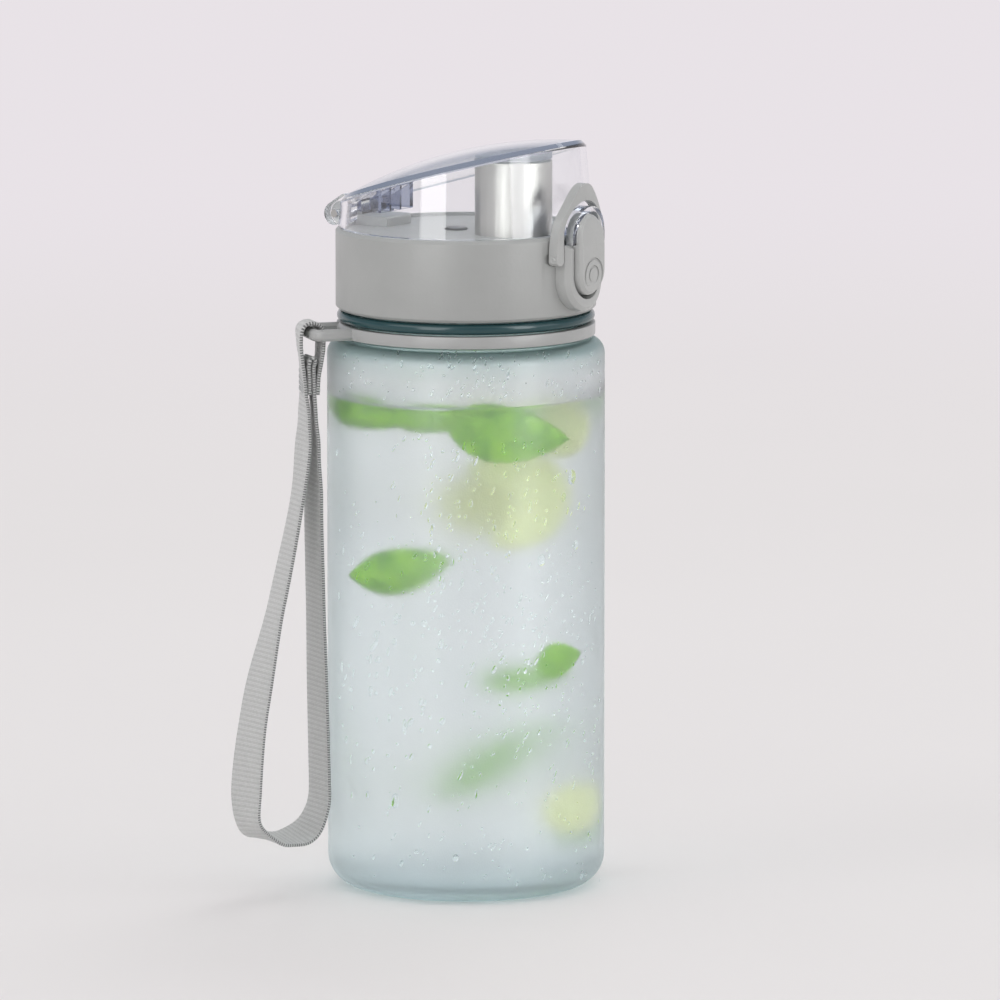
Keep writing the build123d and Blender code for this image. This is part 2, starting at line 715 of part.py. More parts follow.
# Lock bail: pointed yoke bent round the cap, which folds over the lid
with BuildPart() as lock_bail:
    shoulder_z = bail_window_top - bail_shoulder_drop
    heel_z = bail_pivot_z - bail_heel
    with BuildSketch(Plane.XZ.offset(bail_inner_radius - bail_arm_outer)) as yoke:
        with BuildLine():
            FilletPolyline(
                (-bail_arm_outer, heel_z),
                (-bail_arm_outer, shoulder_z),
                (-bail_tip_half_width, bail_tip),
                (bail_tip_half_width, bail_tip),
                (bail_arm_outer, shoulder_z),
                (bail_arm_outer, heel_z),
                radius=(bail_shoulder_radius, bail_tip_radius, bail_tip_radius, bail_shoulder_radius),
            )
            Line((bail_arm_outer, heel_z), (-bail_arm_outer, heel_z))
        make_face()
        add(
            round_ended(bail_arm_inner, heel_z - bail_arm_inner * 2, bail_window_top),
            mode=Mode.SUBTRACT,
        )
    extrude(amount=bail_outer_radius - bail_inner_radius + bail_arm_outer)
    with BuildSketch(Plane.XY.offset(heel_z)):
        Circle(bail_outer_radius)
        Circle(bail_inner_radius, mode=Mode.SUBTRACT)
    extrude(amount=bail_tip - heel_z, mode=Mode.INTERSECT)
    with BuildSketch(Plane.YZ.offset(-bail_arm_outer - cut_over)):
        with Locations((bail_pivot_y, bail_pivot_z)):
            Rectangle(bail_heel * 4, bail_heel * 2, align=(Align.CENTER, Align.MAX))
            Circle(bail_heel, mode=Mode.SUBTRACT)
    extrude(amount=(bail_arm_outer + cut_over) * 2, mode=Mode.SUBTRACT)
    with BuildSketch(Plane.YZ.offset(-bail_arm_inner - bail_pin_depth)):
        with Locations((bail_pivot_y, bail_pivot_z)):
            Circle(bore_for(bail_pin_radius))
    extrude(amount=(bail_arm_inner + bail_pin_depth) * 2, mode=Mode.SUBTRACT)
export_piece(lock_bail, "lock_bail")

# Bail pins: two short steel pins from the cheeks into the bail's arms
with BuildPart() as bail_pins:
    pin_start = housing_half_width - bail_pin_depth / 2 + fit_gap
    for side in (-1, 1):
        with BuildSketch(Plane.YZ.offset(side * pin_start)):
            with Locations((bail_pivot_y, bail_pivot_z)):
                Circle(bail_pin_radius)
        extrude(amount=side * (bail_arm_inner + bail_pin_depth - pin_gap - pin_start))
export_piece(bail_pins, "bail_pins")

# Strap: one band of webbing, sewn into an eye round the lug's bar and a long hanging loop
bar_place = lug_reach - lug_bar_width / 2
bar_z = ring_bottom + ring_height / 2
eye_radius = sqrt(lug_bar_width**2 + ring_height**2) / 2 - ring_edge_chamfer * (sqrt(2) - 1) + eye_gap
bundle_half = webbing_thickness * bundle_layers / 2
loop_tip_z = bar_z - bundle_drop - bundle_length
loop_low_z = bar_z - loop_drop
loop_inner_x = bar_place + loop_inner_offset_share * loop_bottom_radius
loop_width = loop_bottom_radius * 2


def loop_points(shares):
    """Points on one side of the hanging loop, from its round bottom up to its tip."""
    points = [
        (loop_inner_x + loop_width * across, loop_low_z + (loop_tip_z - loop_low_z) * up) for across, up in shares
    ]
    return points + [(bar_place, loop_tip_z)]


def loop_outline():
    """Closed line round the open space inside the hanging loop."""
    inner_side = FilletPolyline(*loop_points(loop_inner_share), radius=loop_side_radius)
    outer_side = FilletPolyline(*loop_points(loop_outer_share), radius=loop_side_radius)
    ThreePointArc(
        inner_side @ 0,
        (loop_inner_x + loop_bottom_radius, loop_low_z - loop_bottom_radius),
        outer_side @ 0,
    )


strap_plane = Plane(origin=(0, 0, 0), x_dir=lug_direction, z_dir=(lug_direction.Y, -lug_direction.X, 0))
with BuildPart() as strap:
    with BuildSketch(strap_plane):
        with BuildLine():
            loop_outline()
        make_face()
        offset(amount=webbing_thickness)
        with Locations((bar_place, loop_tip_z)):
            Rectangle(bundle_half * 2, bundle_length, align=(Align.CENTER, Align.MIN))
        with BuildLine():
            loop_outline()
        make_face(mode=Mode.SUBTRACT)
    extrude(amount=webbing_width / 2, both=True)
    with BuildSketch(strap_plane):
        with Locations((bar_place, bar_z)):
            Circle(eye_radius + webbing_thickness)
        with Locations((bar_place, bar_z - bundle_drop)):
            Rectangle(bundle_half * 2, webbing_thickness, align=(Align.CENTER, Align.MAX))
        make_hull()
        with Locations((bar_place, bar_z)):
            Circle(eye_radius, mode=Mode.SUBTRACT)
    extrude(amount=webbing_width / 2, both=True)
export_piece(strap, "strap")
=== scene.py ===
import json
import random
from math import atan2, copysign, cos, exp, hypot, pi, radians, sin, sqrt

import bpy
from mathutils import Matrix, Vector


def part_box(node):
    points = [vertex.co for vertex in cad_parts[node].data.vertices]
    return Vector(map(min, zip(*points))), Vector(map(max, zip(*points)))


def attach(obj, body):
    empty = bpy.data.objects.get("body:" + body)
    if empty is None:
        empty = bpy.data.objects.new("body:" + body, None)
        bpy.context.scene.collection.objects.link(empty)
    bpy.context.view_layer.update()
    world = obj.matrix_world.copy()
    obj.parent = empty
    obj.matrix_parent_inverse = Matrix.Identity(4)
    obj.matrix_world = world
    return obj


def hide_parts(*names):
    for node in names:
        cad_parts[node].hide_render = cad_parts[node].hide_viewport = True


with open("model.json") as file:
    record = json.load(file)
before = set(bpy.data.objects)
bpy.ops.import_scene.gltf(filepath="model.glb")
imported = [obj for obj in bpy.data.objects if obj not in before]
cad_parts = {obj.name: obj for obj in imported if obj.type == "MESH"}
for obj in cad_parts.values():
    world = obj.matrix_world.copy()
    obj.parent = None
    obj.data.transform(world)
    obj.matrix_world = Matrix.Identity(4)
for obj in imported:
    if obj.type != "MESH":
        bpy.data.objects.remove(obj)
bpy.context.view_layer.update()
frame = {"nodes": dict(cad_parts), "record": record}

nodes = frame["nodes"]
MM = 0.001
FULL_TURN = 2 * pi
UP = Vector((0, 0, 1))

# Camera: the photograph's view
VIEW_BEARING = radians(-147.6)
VIEW_RISE = radians(8.5)
CAMERA_DISTANCE = 2.4
CAMERA_LENS = 332.9
CAMERA_REACH = 50
TARGET_HEIGHT = 0.1005
TARGET_SHIFT = 0.008824
SOFTBOX_TARGET = 0.1

# The photograph's pixels, for what is placed by the photograph
PHOTO_CENTRE = 500
PHOTO_AXIS = 466
PHOTO_SCALE = 0.2595  # millimetres a pixel at the bottle's axis

# Pixels across and down at the middle of each leaf and each slice
CONTENT_PIXELS = {
    "leaf_top": (512, 435), "leaf_surface_left": (350, 416), "leaf_surface_mid": (430, 421),
    "leaf_left": (389, 572), "leaf_small": (565, 661), "leaf_tail": (514, 671), "leaf_deep": (488, 752),
    "leaf_low": (543, 812), "lemon_front": (504, 496), "lemon_back": (480, 496), "lemon_low": (553, 806),
    "lemon_top": (548, 428),
}
# Patches of small drops: left, top, right and bottom pixel, count, and the least and most radius
DROP_PATCHES = [
    (340, 615, 445, 765, 75, 0.35, 0.75), (425, 555, 600, 650, 150, 0.2, 0.45),
    (425, 440, 595, 555, 130, 0.2, 0.5), (430, 352, 600, 400, 110, 0.18, 0.42),
    (460, 640, 600, 770, 120, 0.2, 0.45), (336, 430, 430, 610, 60, 0.2, 0.45),
    (340, 765, 480, 885, 45, 0.2, 0.5), (480, 770, 600, 890, 60, 0.2, 0.45),
    (336, 352, 430, 400, 30, 0.18, 0.4),
]
# Single large drops: pixel across and down, radius and length
SINGLE_DROPS = [
    (571, 477, 1.3, 2.0), (396, 802, 1.2, 2.0), (541, 560, 1.1, 1.6), (425, 624, 0.9, 1.0),
    (380, 660, 0.9, 0.9), (372, 690, 0.8, 0.9), (563, 497, 0.8, 1.2), (352, 690, 0.8, 0.8),
    (575, 545, 0.9, 1.3), (456, 860, 0.8, 1.0),
]
# Trails of beads: pixel across, top and bottom pixel, count
BEAD_TRAILS = [(433, 440, 600, 22), (496, 520, 720, 24), (527, 600, 760, 18)]

# Sizes in millimetres that the frame's boxes don't give
BODY_WALL = 2.0
FLOOR_TOP = 4.0
BASE_CORNER = 8.0
SHOULDER_CORNER = 4.0
SHOULDER_HEIGHT = 143.2
CAVITY_TOP = SHOULDER_HEIGHT - BODY_WALL
FOOT_RING_RADIUS = 24.0
FOOT_RECESS = 1.6
FOOT_SLOPE = 2.4
NECK_RADIUS = 30.2
NECK_BORE = 27.8
STEP_RADIUS = 32.2
STEP_HEIGHT = 144.0
STEP_ROUND = 0.2
STEP_FILLET = 0.3
LIP_ROUND = 0.6
BORE_EASE = 0.8
CAP_BORE = 31.9
THREAD_PITCH = 3.6
THREAD_CREST = 0.35
THREAD_ROOT_SINK = 0.15
THREAD_FADE_SHARE = 0.08
THREAD_STEPS = 96
COIL_WIRE = 0.4
COIL_TURNS = 7
COIL_STEPS = 28
CORNER_STEPS = 12

# Drink and condensation
WATER_HEIGHT = 128.5
WATER_HOLLOW = 0.25
WATER_CREEP = 0.9
WATER_OVERLAP = 0.03
FOG_START = WATER_HEIGHT + 2.0
FOG_FULL = WATER_HEIGHT + 4.5
LEAF_THICKNESS = 0.3
DROP_SEED = 5
DROP_SINK = 0.03
DROP_RISE_SHARE = 0.65
DROP_SAG_SHARE = 0.25
DROPS_BEHIND = 900

# Lock bail: where its arms run, and half of its arch as across and height outside, then inside
BAIL_THICKNESS = 2.4
BAIL_END = 166.1
BAIL_ARM = (8.9, 11.2)
BAIL_ARCH = [
    (11.2, 166.1, 8.9, 166.1), (11.15, 168.5, 8.9, 168.5), (10.95, 171.0, 8.9, 171.0),
    (10.3, 174.2, 8.7, 173.95), (9.3, 176.8, 7.86, 176.28), (7.55, 179.25, 6.6, 178.05),
    (5.95, 181.3, 5.23, 179.3), (4.4, 183.1, 3.76, 180.17), (2.95, 184.45, 2.45, 180.65),
    (1.5, 185.2, 1.24, 180.9), (0.0, 185.4, 0.0, 181.0),
]
BAIL_STEPS = 120
BAIL_END_STEPS = 8
RIVET_PROFILE = [(0, -0.1), (1.15, -0.1), (1.0, 0.10), (0.78, 0.08), (0.62, -0.04), (0.45, 0.10), (0, 0.12)]

# Strap
WEBBING_WIDTH = 10.0
WEBBING_HALF = 0.6
THREAD_GAP = 0.42
RIB_PITCH = 1.3
RIB_STEPS = 6
RIB_DEPTH = 0.05
RIB_ROOM = 0.1
SELVEDGE_SHARE = 0.92
SELVEDGE_LAG = 1.0
SELVEDGE_LEAST_SHARE = 0.25
CREASE_DEPTH = 0.1
CREASE_START = 0.90
CREASE_END = 0.93
# Places across half of the tape, closer together at the selvedge
HALF_TAPE_SHARES = [-1.0, -0.99, -0.97, -0.94, -0.915, -0.88, -0.6, -0.3]
BUNDLE_TWIST = -8.0
# Stitches: the bundle's faces and how far out each lies, places across and up them, and a stitch's points
STITCH_FACES = [(-1, 39.75), (1, 44.1)]
STITCH_COLUMNS = (-3.4, -1.2, 1.2, 3.4)
STITCH_ROWS = (131.2, 132.7, 134.2, 135.7)
STITCH_BOW = [(-0.6, 0.0), (-0.2, 0.12), (0.2, 0.12), (0.6, 0.0)]
STITCH_THREAD_RADIUS = 0.16
# Control points of the loop: out from the axis, across, height, and the webbing's twist in degrees
LOOP_ROUTE = [
    (41.3, 0.0, 137.2, -8), (41.3, 0.0, 132.0, -8), (40.6, 0.0, 124.0, -9), (40.4, 0.1, 116.0, -2),
    (40.9, 0.5, 103.0, 11), (40.0, 1.7, 76.6, 12), (39.2, 2.7, 50.0, 16), (38.6, 3.1, 28.0, 17),
    (38.6, 3.1, 21.5, 19), (42.5, 2.2, 14.4, 26), (50.5, -1.0, 13.2, 9), (59.9, -4.0, 16.5, -24),
    (60.4, -4.0, 28.0, -36), (57.8, -3.6, 50.0, -28), (51.0, -1.8, 76.6, -8), (45.0, -0.5, 103.0, -2.5),
    (43.6, -0.2, 116.0, -7), (43.2, 0.0, 124.0, 0), (43.5, 0.0, 132.0, 8), (43.9, 0.0, 138.5, 11),
    (44.6, 0.0, 142.5, 10), (44.6, 0.0, 148.5, 7), (39.2, 0.0, 148.5, 0), (38.9, 0.0, 142.5, -4),
    (39.4, 0.0, 138.5, -6), (40.15, 0.0, 134.0, -8), (40.25, 0.0, 130.2, -8),
]
# The folded end of the band between the strands, under the bar
EYE_ROUTE = [
    (42.4, 0.0, 130.3, 8), (42.4, 0.0, 134.0, 8), (42.6, 0.0, 137.2, 8), (42.5, 0.0, 139.4, 6),
    (41.3, 0.0, 139.4, 0), (41.3, 0.0, 137.2, -8),
]


def in_mm(box):
    """The two corners of a box in millimetres."""
    return [tuple(value / MM for value in corner) for corner in box]


body_high = in_mm(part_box("bottle_body"))[1]
BODY_RADIUS = body_high[0]
NECK_TOP = body_high[2]
BODY_BORE = BODY_RADIUS - BODY_WALL


# Camera

def direction(bearing, rise=0.0):
    """Unit vector at a bearing about the axis and a rise above level, both in radians."""
    return Vector((cos(bearing) * cos(rise), sin(bearing) * cos(rise), sin(rise)))


def place_object(name, data):
    """New object in the scene."""
    placed = bpy.data.objects.new(name, data)
    bpy.context.scene.collection.objects.link(placed)
    return placed


def aim(thing, target, toward, distance):
    """Stands a camera or lamp this far from its target, facing it."""
    thing.location = target + toward * distance
    thing.rotation_euler = (-toward).to_track_quat("-Z", "Y").to_euler()


FLAT_VIEW = direction(VIEW_BEARING)
IMAGE_RIGHT = Vector((-sin(VIEW_BEARING), cos(VIEW_BEARING), 0))
camera = place_object("camera", bpy.data.cameras.new("camera"))
camera.data.lens = CAMERA_LENS
camera.data.clip_end = CAMERA_REACH
view_target = UP * TARGET_HEIGHT + IMAGE_RIGHT * TARGET_SHIFT
aim(camera, view_target, direction(VIEW_BEARING, VIEW_RISE), CAMERA_DISTANCE)
bpy.context.scene.camera = camera


def seen_height(rise, depth):
    """Height of what shows this far above the picture's middle, at a depth from the axis to the camera."""
    return TARGET_HEIGHT / MM + (rise + depth * sin(VIEW_RISE)) / cos(VIEW_RISE)


def from_photo(across_pixel, down_pixel, radius):
    """Angle and height on a round surface about the axis that the photograph shows at a pixel."""
    across = (across_pixel - PHOTO_AXIS) * PHOTO_SCALE
    depth = sqrt(radius**2 - across**2)
    rise = (PHOTO_CENTRE - down_pixel) * PHOTO_SCALE * (1 - depth * MM / CAMERA_DISTANCE)
    return VIEW_BEARING + atan2(across, depth), seen_height(rise, depth)


def inside_photo(name, depth):
    """Point at the pixel of a leaf or slice, this far from the axis towards the camera."""
    across_pixel, down_pixel = CONTENT_PIXELS[name]
    across = (across_pixel - PHOTO_AXIS) * PHOTO_SCALE
    rise = (PHOTO_CENTRE - down_pixel) * PHOTO_SCALE
    return IMAGE_RIGHT * across + FLAT_VIEW * depth + UP * seen_height(rise, depth)


# Mesh helpers

def add_object(name, points, faces, body, slot_name, material=None, sharp=None):
    """New piece from points in millimetres, smooth but for edges sharper than the angle given."""
    mesh = bpy.data.meshes.new(name)
    mesh.from_pydata([tuple(value * MM for value in point) for point in points], [], faces)
    mesh.update()
    mesh.shade_smooth()
    if sharp is not None:
        mesh.set_sharp_from_angle(angle=radians(sharp))
    piece = place_object(name, mesh)
    mesh.materials.append(material or finishes[slot_name])
    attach(piece, body)
    return piece


def add_shape(points, faces, more_points, more_faces):
    """Adds a shape to the points and faces of one mesh."""
    faces += [tuple(corner + len(points) for corner in corners) for corners in more_faces]
    points += more_points


def round_edges(piece, width, angle):
    """Rounds the edges sharper than an angle, in millimetres and degrees."""
    rounds = piece.modifiers.new("rounds", "BEVEL")
    rounds.width = width * MM
    rounds.segments = 3
    rounds.limit_method = "ANGLE"
    rounds.angle_limit = radians(angle)
    rounds.harden_normals = True


def polar(radius, angle, height):
    """Point at a radius and angle about the axis."""
    return radius * cos(angle), radius * sin(angle), height


def arc(centre, radius, start, end, steps=CORNER_STEPS):
    """Points along an arc of a turned profile, angles in degrees."""
    angles = [radians(start + (end - start) * step / steps) for step in range(steps + 1)]
    return [(centre[0] + radius * cos(angle), centre[1] + radius * sin(angle)) for angle in angles]


def rounded_off(share, start):
    """One up to the start, and from there a quarter circle down to nothing at a share of one."""
    return sqrt(max(0.0, 1 - max(0.0, (share - start) / (1 - start)) ** 2))


def skin(rings, count, first=0, turned=False):
    """Faces between rings of so many points; turned ones face the other way."""
    faces = []
    for ring in range(rings - 1):
        start = first + ring * count
        end = start + count
        for step in range(count):
            after = (step + 1) % count
            if turned:
                faces.append((start + step, end + step, end + after, start + after))
            else:
                faces.append((start + step, start + after, end + after, end + step))
    return faces


def capped(rings, count, turned=False):
    """Faces of rings of points and of their two flat ends."""
    last = (rings - 1) * count
    ends = [tuple(reversed(range(count))), tuple(range(last, last + count))]
    if turned:
        ends = flipped(ends)
    return skin(rings, count, turned=turned) + ends


def flipped(faces):
    """The same faces, seen from the other side."""
    return [tuple(reversed(corners)) for corners in faces]


def grid(rows, columns, first=0):
    """Faces of rows of points, each with one point more than there are columns."""
    width = columns + 1
    starts = [first + row * width + column for row in range(rows) for column in range(columns)]
    return [(start, start + 1, start + width + 1, start + width) for start in starts]


def lathe(profile, steps=192):
    """Points and faces of a closed profile of (radius, height) turned about the axis."""
    points, faces, rings = [], [], []
    for radius, height in profile:
        count = 1 if radius == 0 else steps
        rings.append([len(points) + step % count for step in range(steps)])
        points += [polar(radius, FULL_TURN * step / steps, height) for step in range(count)]
    for ring, above in zip(rings, rings[1:] + rings[:1]):
        for step in range(steps):
            after = (step + 1) % steps
            corners = list(dict.fromkeys([ring[step], ring[after], above[after], above[step]]))
            if len(corners) > 2:
                faces.append(corners)
    return points, faces


def ahead_at(path, index):
    """Direction of a path at one of its points."""
    return (Vector(path[min(index + 1, len(path) - 1)]) - Vector(path[max(index - 1, 0)])).normalized()


def tube(path, radius, sides):
    """Points and faces of a round tube along a path of points, with flat ends."""
    points = []
    side = None
    for index, point in enumerate(path):
        ahead = ahead_at(path, index)
        if side is None:
            side = ahead.orthogonal().normalized()
        side = (side - ahead * side.dot(ahead)).normalized()
        other = ahead.cross(side)
        for step in range(sides):
            turn = FULL_TURN * step / sides
            points.append(tuple(Vector(point) + (side * cos(turn) + other * sin(turn)) * radius))
    return points, capped(len(path), sides)


# Node helpers

def plug(tree, socket, value):
    """Links another node's output to a socket, or sets the socket's value."""
    if isinstance(value, bpy.types.NodeSocket):
        tree.links.new(value, socket)
    else:
        socket.default_value = value


def feed(tree, node, **inputs):
    """Sets or links a node's inputs, with _ for the space in an input's name."""
    for name, value in inputs.items():
        plug(tree, node.inputs[name.replace("_", " ")], value)


def add_node(tree, kind, settings=None, **inputs):
    """A shader node with its settings and inputs."""
    node = tree.nodes.new("ShaderNode" + kind)
    for name, value in (settings or {}).items():
        setattr(node, name, value)
    feed(tree, node, **inputs)
    return node


def node_in_order(tree, kind, settings, *values):
    """First output of a node whose inputs are given in their order."""
    node = add_node(tree, kind, settings)
    for socket, value in zip(node.inputs, values):
        plug(tree, socket, value)
    return node.outputs[0]


def calculate(tree, operation, *values, clamp=False):
    """Result of a sum on values or on other nodes' outputs."""
    return node_in_order(tree, "Math", {"operation": operation, "use_clamp": clamp}, *values)


def rescale(tree, value, low, high, least=0.0, most=1.0, shape="LINEAR"):
    """A value between low and high turned into one between least and most."""
    return add_node(
        tree, "MapRange", {"interpolation_type": shape}, Value=value, From_Min=low, From_Max=high,
        To_Min=least, To_Max=most,
    ).outputs["Result"]


def light_path(tree, name):
    """What the renderer says of the ray."""
    return add_node(tree, "LightPath").outputs[name]


def texture_place(tree, name):
    """One of the renderer's own coordinates."""
    return add_node(tree, "TexCoord").outputs[name]


def coordinates(tree, stretch=(1, 1, 1)):
    """Object coordinates, stretched along each axis."""
    place = texture_place(tree, "Object")
    return add_node(tree, "Mapping", Vector=place, Scale=stretch).outputs["Vector"]


def part_of(tree, vector, axis):
    """A vector's share along one axis."""
    return add_node(tree, "SeparateXYZ", Vector=vector).outputs[axis]


def length_of(tree, vector):
    """A vector's length."""
    return add_node(tree, "VectorMath", {"operation": "LENGTH"}, Vector=vector).outputs["Value"]


def noise(tree, vector, scale, detail=3.0, roughness=0.5):
    """Noise between about 0.25 and 0.75."""
    return add_node(
        tree, "TexNoise", Vector=vector, Scale=scale, Detail=detail, Roughness=roughness,
    ).outputs["Fac"]


def ramp(tree, factor, stops):
    """Colour ramp with stops of (place, colour)."""
    node = add_node(tree, "ValToRGB", Fac=factor)
    elements = node.color_ramp.elements
    while len(elements) < len(stops):
        elements.new(0.5)
    for element, (place, colour) in zip(elements, stops):
        element.position = place
        element.color = (*colour, 1)
    return node.outputs["Color"]


def clouded(tree, factor, dark, light):
    """A noise turned into a colour between dark and light."""
    return ramp(tree, factor, [(0.3, dark), (0.7, light)])


def spread(tree, factor, least, most):
    """A noise turned into a value between least and most."""
    return rescale(tree, factor, 0.3, 0.7, least, most)


def mixed_colours(tree, share, first, second, blend="MIX"):
    """Two colours mixed, with this share of the second."""
    settings = {"data_type": "RGBA", "blend_type": blend}
    return add_node(tree, "Mix", settings, Factor=share, A=first, B=second).outputs["Result"]


def mixed_shaders(tree, share, first, second):
    """Two shaders mixed, with this share of the second."""
    return node_in_order(tree, "MixShader", {}, share, first, second)


def mix_surface(tree, share, other):
    """Mixes a share of another shader into the material's surface."""
    surface = tree.nodes["Material Output"].inputs["Surface"]
    tree.links.new(mixed_shaders(tree, share, surface.links[0].from_socket, other.outputs[0]), surface)


def lit_through(tree, colour, share):
    """Lets tinted light fall through a clear or frosted piece instead of a full shadow."""
    shadow = calculate(tree, "MULTIPLY", light_path(tree, "Is Shadow Ray"), share)
    mix_surface(tree, shadow, add_node(tree, "BsdfTransparent", Color=(*colour, 1)))


def glow_through(tree, colour, share):
    """Lets a share of the light through a thin piece in its own colour."""
    mix_surface(tree, share, add_node(tree, "BsdfTranslucent", Color=colour))


def add_bump(tree, shader, height, distance):
    """Bump on the shader's normal, its depth in metres."""
    bump = add_node(tree, "Bump", Height=height, Distance=distance)
    feed(tree, shader, Normal=bump.outputs["Normal"])


def tinted(colour, share):
    """The colour made lighter or darker."""
    return tuple(min(1.0, value * share) for value in colour)


# Materials

def new_material(name, roughness, **sockets):
    """A material, its nodes and its shader."""
    material = bpy.data.materials.new(name)
    material.use_nodes = True
    tree = material.node_tree
    shader = tree.nodes["Principled BSDF"]
    feed(tree, shader, Roughness=roughness, **sockets)
    return material, tree, shader


def moulded(name, colour, roughness, grain=900.0, depth=0.00004):
    """Moulded plastic or rubber: faint clouding, uneven gloss and a fine grain."""
    material, tree, shader = new_material(name, roughness)
    place = coordinates(tree)
    clouds = noise(tree, place, 45.0, detail=4.0)
    feed(
        tree, shader, Base_Color=clouded(tree, clouds, tinted(colour, 0.94), tinted(colour, 1.06)),
        Roughness=spread(tree, noise(tree, place, 160.0), roughness * 0.9, roughness * 1.12),
    )
    add_bump(tree, shader, noise(tree, place, grain, detail=2.0), depth)
    return material


def clear_material(name, colour, roughness, ior, share=0.9):
    """Clear plastic, water or gel with slightly uneven gloss and tint."""
    material, tree, shader = new_material(name, roughness, IOR=ior, Transmission_Weight=1.0)
    place = coordinates(tree)
    feed(
        tree, shader, Base_Color=clouded(tree, noise(tree, place, 30.0), tinted(colour, 0.985), colour),
        Roughness=spread(tree, noise(tree, place, 90.0), roughness * 0.7, roughness * 1.3),
    )
    lit_through(tree, colour, share)
    return material


def clear_lid_material():
    """Clear moulded plastic; where the roof thickens into its rim and is seen at a slant, grey is painted on
    as shade.
    """
    clear, painted_rim_shade = (0.985, 0.99, 0.995), (0.26, 0.31, 0.41)
    rim_start, rim_full, most_bounces = 0.018, 0.031, 5.5
    material = clear_material("clear_plastic", clear, 0.012, 1.49)
    tree = material.node_tree
    # Painted shade: grey on the roof's upward faces near the rim, where they are seen at a slant
    upward = rescale(tree, part_of(tree, texture_place(tree, "Normal"), "Z"), 0.5, 0.8)
    rim = rescale(tree, length_of(tree, coordinates(tree, (1, 1, 0))), rim_start, rim_full)
    grazing = add_node(tree, "LayerWeight", Blend=0.5).outputs["Facing"]
    steep = rescale(tree, grazing, 0.72, 0.90)
    edge = calculate(tree, "MULTIPLY", calculate(tree, "MULTIPLY", upward, rim), steep)
    feed(tree, tree.nodes["Principled BSDF"], Base_Color=ramp(tree, edge, [(0.0, clear), (1.0, painted_rim_shade)]))
    # Light that has bounced often goes straight on, tinted, so that the rim isn't black
    often = calculate(tree, "GREATER_THAN", light_path(tree, "Ray Depth"), most_bounces)
    mix_surface(tree, often, add_node(tree, "BsdfTransparent", Color=(0.60, 0.64, 0.72, 1)))
    return material


def frosted_material():
    """Frosted copolyester: rough outside, milky and slightly blue-green."""
    material, tree, shader = new_material("frosted_body", 0.30, IOR=1.5)
    place = coordinates(tree)
    height = part_of(tree, place, "Z")
    tint = clouded(tree, noise(tree, place, 28.0), (0.86, 0.92, 0.935), (0.90, 0.945, 0.955))
    # At the base and the shoulder more of the wall is looked through; the darker teal there is partly that
    # and partly painted shade, at the shoulder for the dark ring above it
    thick = ramp(tree, rescale(tree, height, 0.0, STEP_HEIGHT * MM), [
        (0.0, (0.36, 0.50, 0.52)), (0.02, (0.70, 0.80, 0.83)), (0.05, (0.90, 0.95, 0.96)),
        (0.09, (1, 1, 1)), (0.94, (1, 1, 1)), (0.972, (0.80, 0.88, 0.87)), (0.99, (0.45, 0.62, 0.60)),
    ])
    # Above the drink the inside of the wall is fogged
    fog = rescale(tree, height, FOG_START * MM, FOG_FULL * MM, 0.93, 0.72)
    # A drop wets the frosting: what is seen through one is clear
    wet = calculate(tree, "COMPARE", light_path(tree, "Transmission Depth"), 1.0, 0.25)
    dry_roughness = spread(tree, noise(tree, place, 60.0), 0.36, 0.46)
    frosting = add_node(tree, "Mix", {"data_type": "FLOAT"}, Factor=wet, A=dry_roughness, B=0.04)
    feed(
        tree, shader, Base_Color=mixed_colours(tree, 1.0, tint, thick, "MULTIPLY"),
        Roughness=frosting.outputs["Result"], Transmission_Weight=fog,
    )
    add_bump(tree, shader, noise(tree, place, 2600.0, detail=2.0), 0.00003)
    lit_through(tree, (0.955, 0.98, 0.985), 0.97)
    return material


def brushed_steel(name, stretch, roughness=0.33):
    """Stainless steel with fine lines along the way it was turned or drawn."""
    material, tree, shader = new_material(name, roughness, Metallic=1.0, Anisotropic=0.7)
    lines = noise(tree, coordinates(tree, stretch), 6000.0, roughness=0.6)
    tangent = add_node(tree, "Tangent", {"direction_type": "RADIAL", "axis": "Z"})
    feed(
        tree, shader, Base_Color=clouded(tree, lines, (0.455, 0.46, 0.435), (0.475, 0.48, 0.455)),
        Roughness=spread(tree, lines, roughness * 0.95, roughness * 1.08), Tangent=tangent.outputs["Tangent"],
    )
    add_bump(tree, shader, lines, 0.0000005)
    return material


def leaf_material():
    """Fresh leaf with mottled green and light passing through it."""
    material, tree, shader = new_material("mint_leaf", 0.45)
    place = coordinates(tree)
    mottling = noise(tree, place, 220.0, detail=5.0)
    greens = ramp(tree, mottling, [(0.32, (0.26, 0.64, 0.008)), (0.68, (0.60, 0.95, 0.02))])
    feed(tree, shader, Base_Color=greens)
    add_bump(tree, shader, noise(tree, place, 600.0, detail=4.0), 0.0002)
    glow_through(tree, greens, 0.62)
    return material


def lemon_material():
    """Cut lemon: juicy flesh, pith and rind by the distance from the slice's middle."""
    largest_radius, cell_scale = 0.022, 500.0
    material, tree, shader = new_material("lemon_slice", 0.35)
    place = texture_place(tree, "Object")
    flesh = ramp(tree, rescale(tree, length_of(tree, place), 0.0, largest_radius), [
        (0.0, (1.0, 1.0, 0.85)), (0.12, (0.99, 1.0, 0.55)), (0.80, (0.98, 1.0, 0.52)),
        (0.86, (1.0, 1.0, 0.85)), (0.93, (0.98, 0.96, 0.34)),
    ])
    cells = add_node(tree, "TexVoronoi", Vector=place, Scale=cell_scale).outputs["Color"]
    colour = mixed_colours(tree, 0.04, flesh, cells, "MULTIPLY")
    feed(tree, shader, Base_Color=colour)
    glow_through(tree, colour, 0.2)
    return material


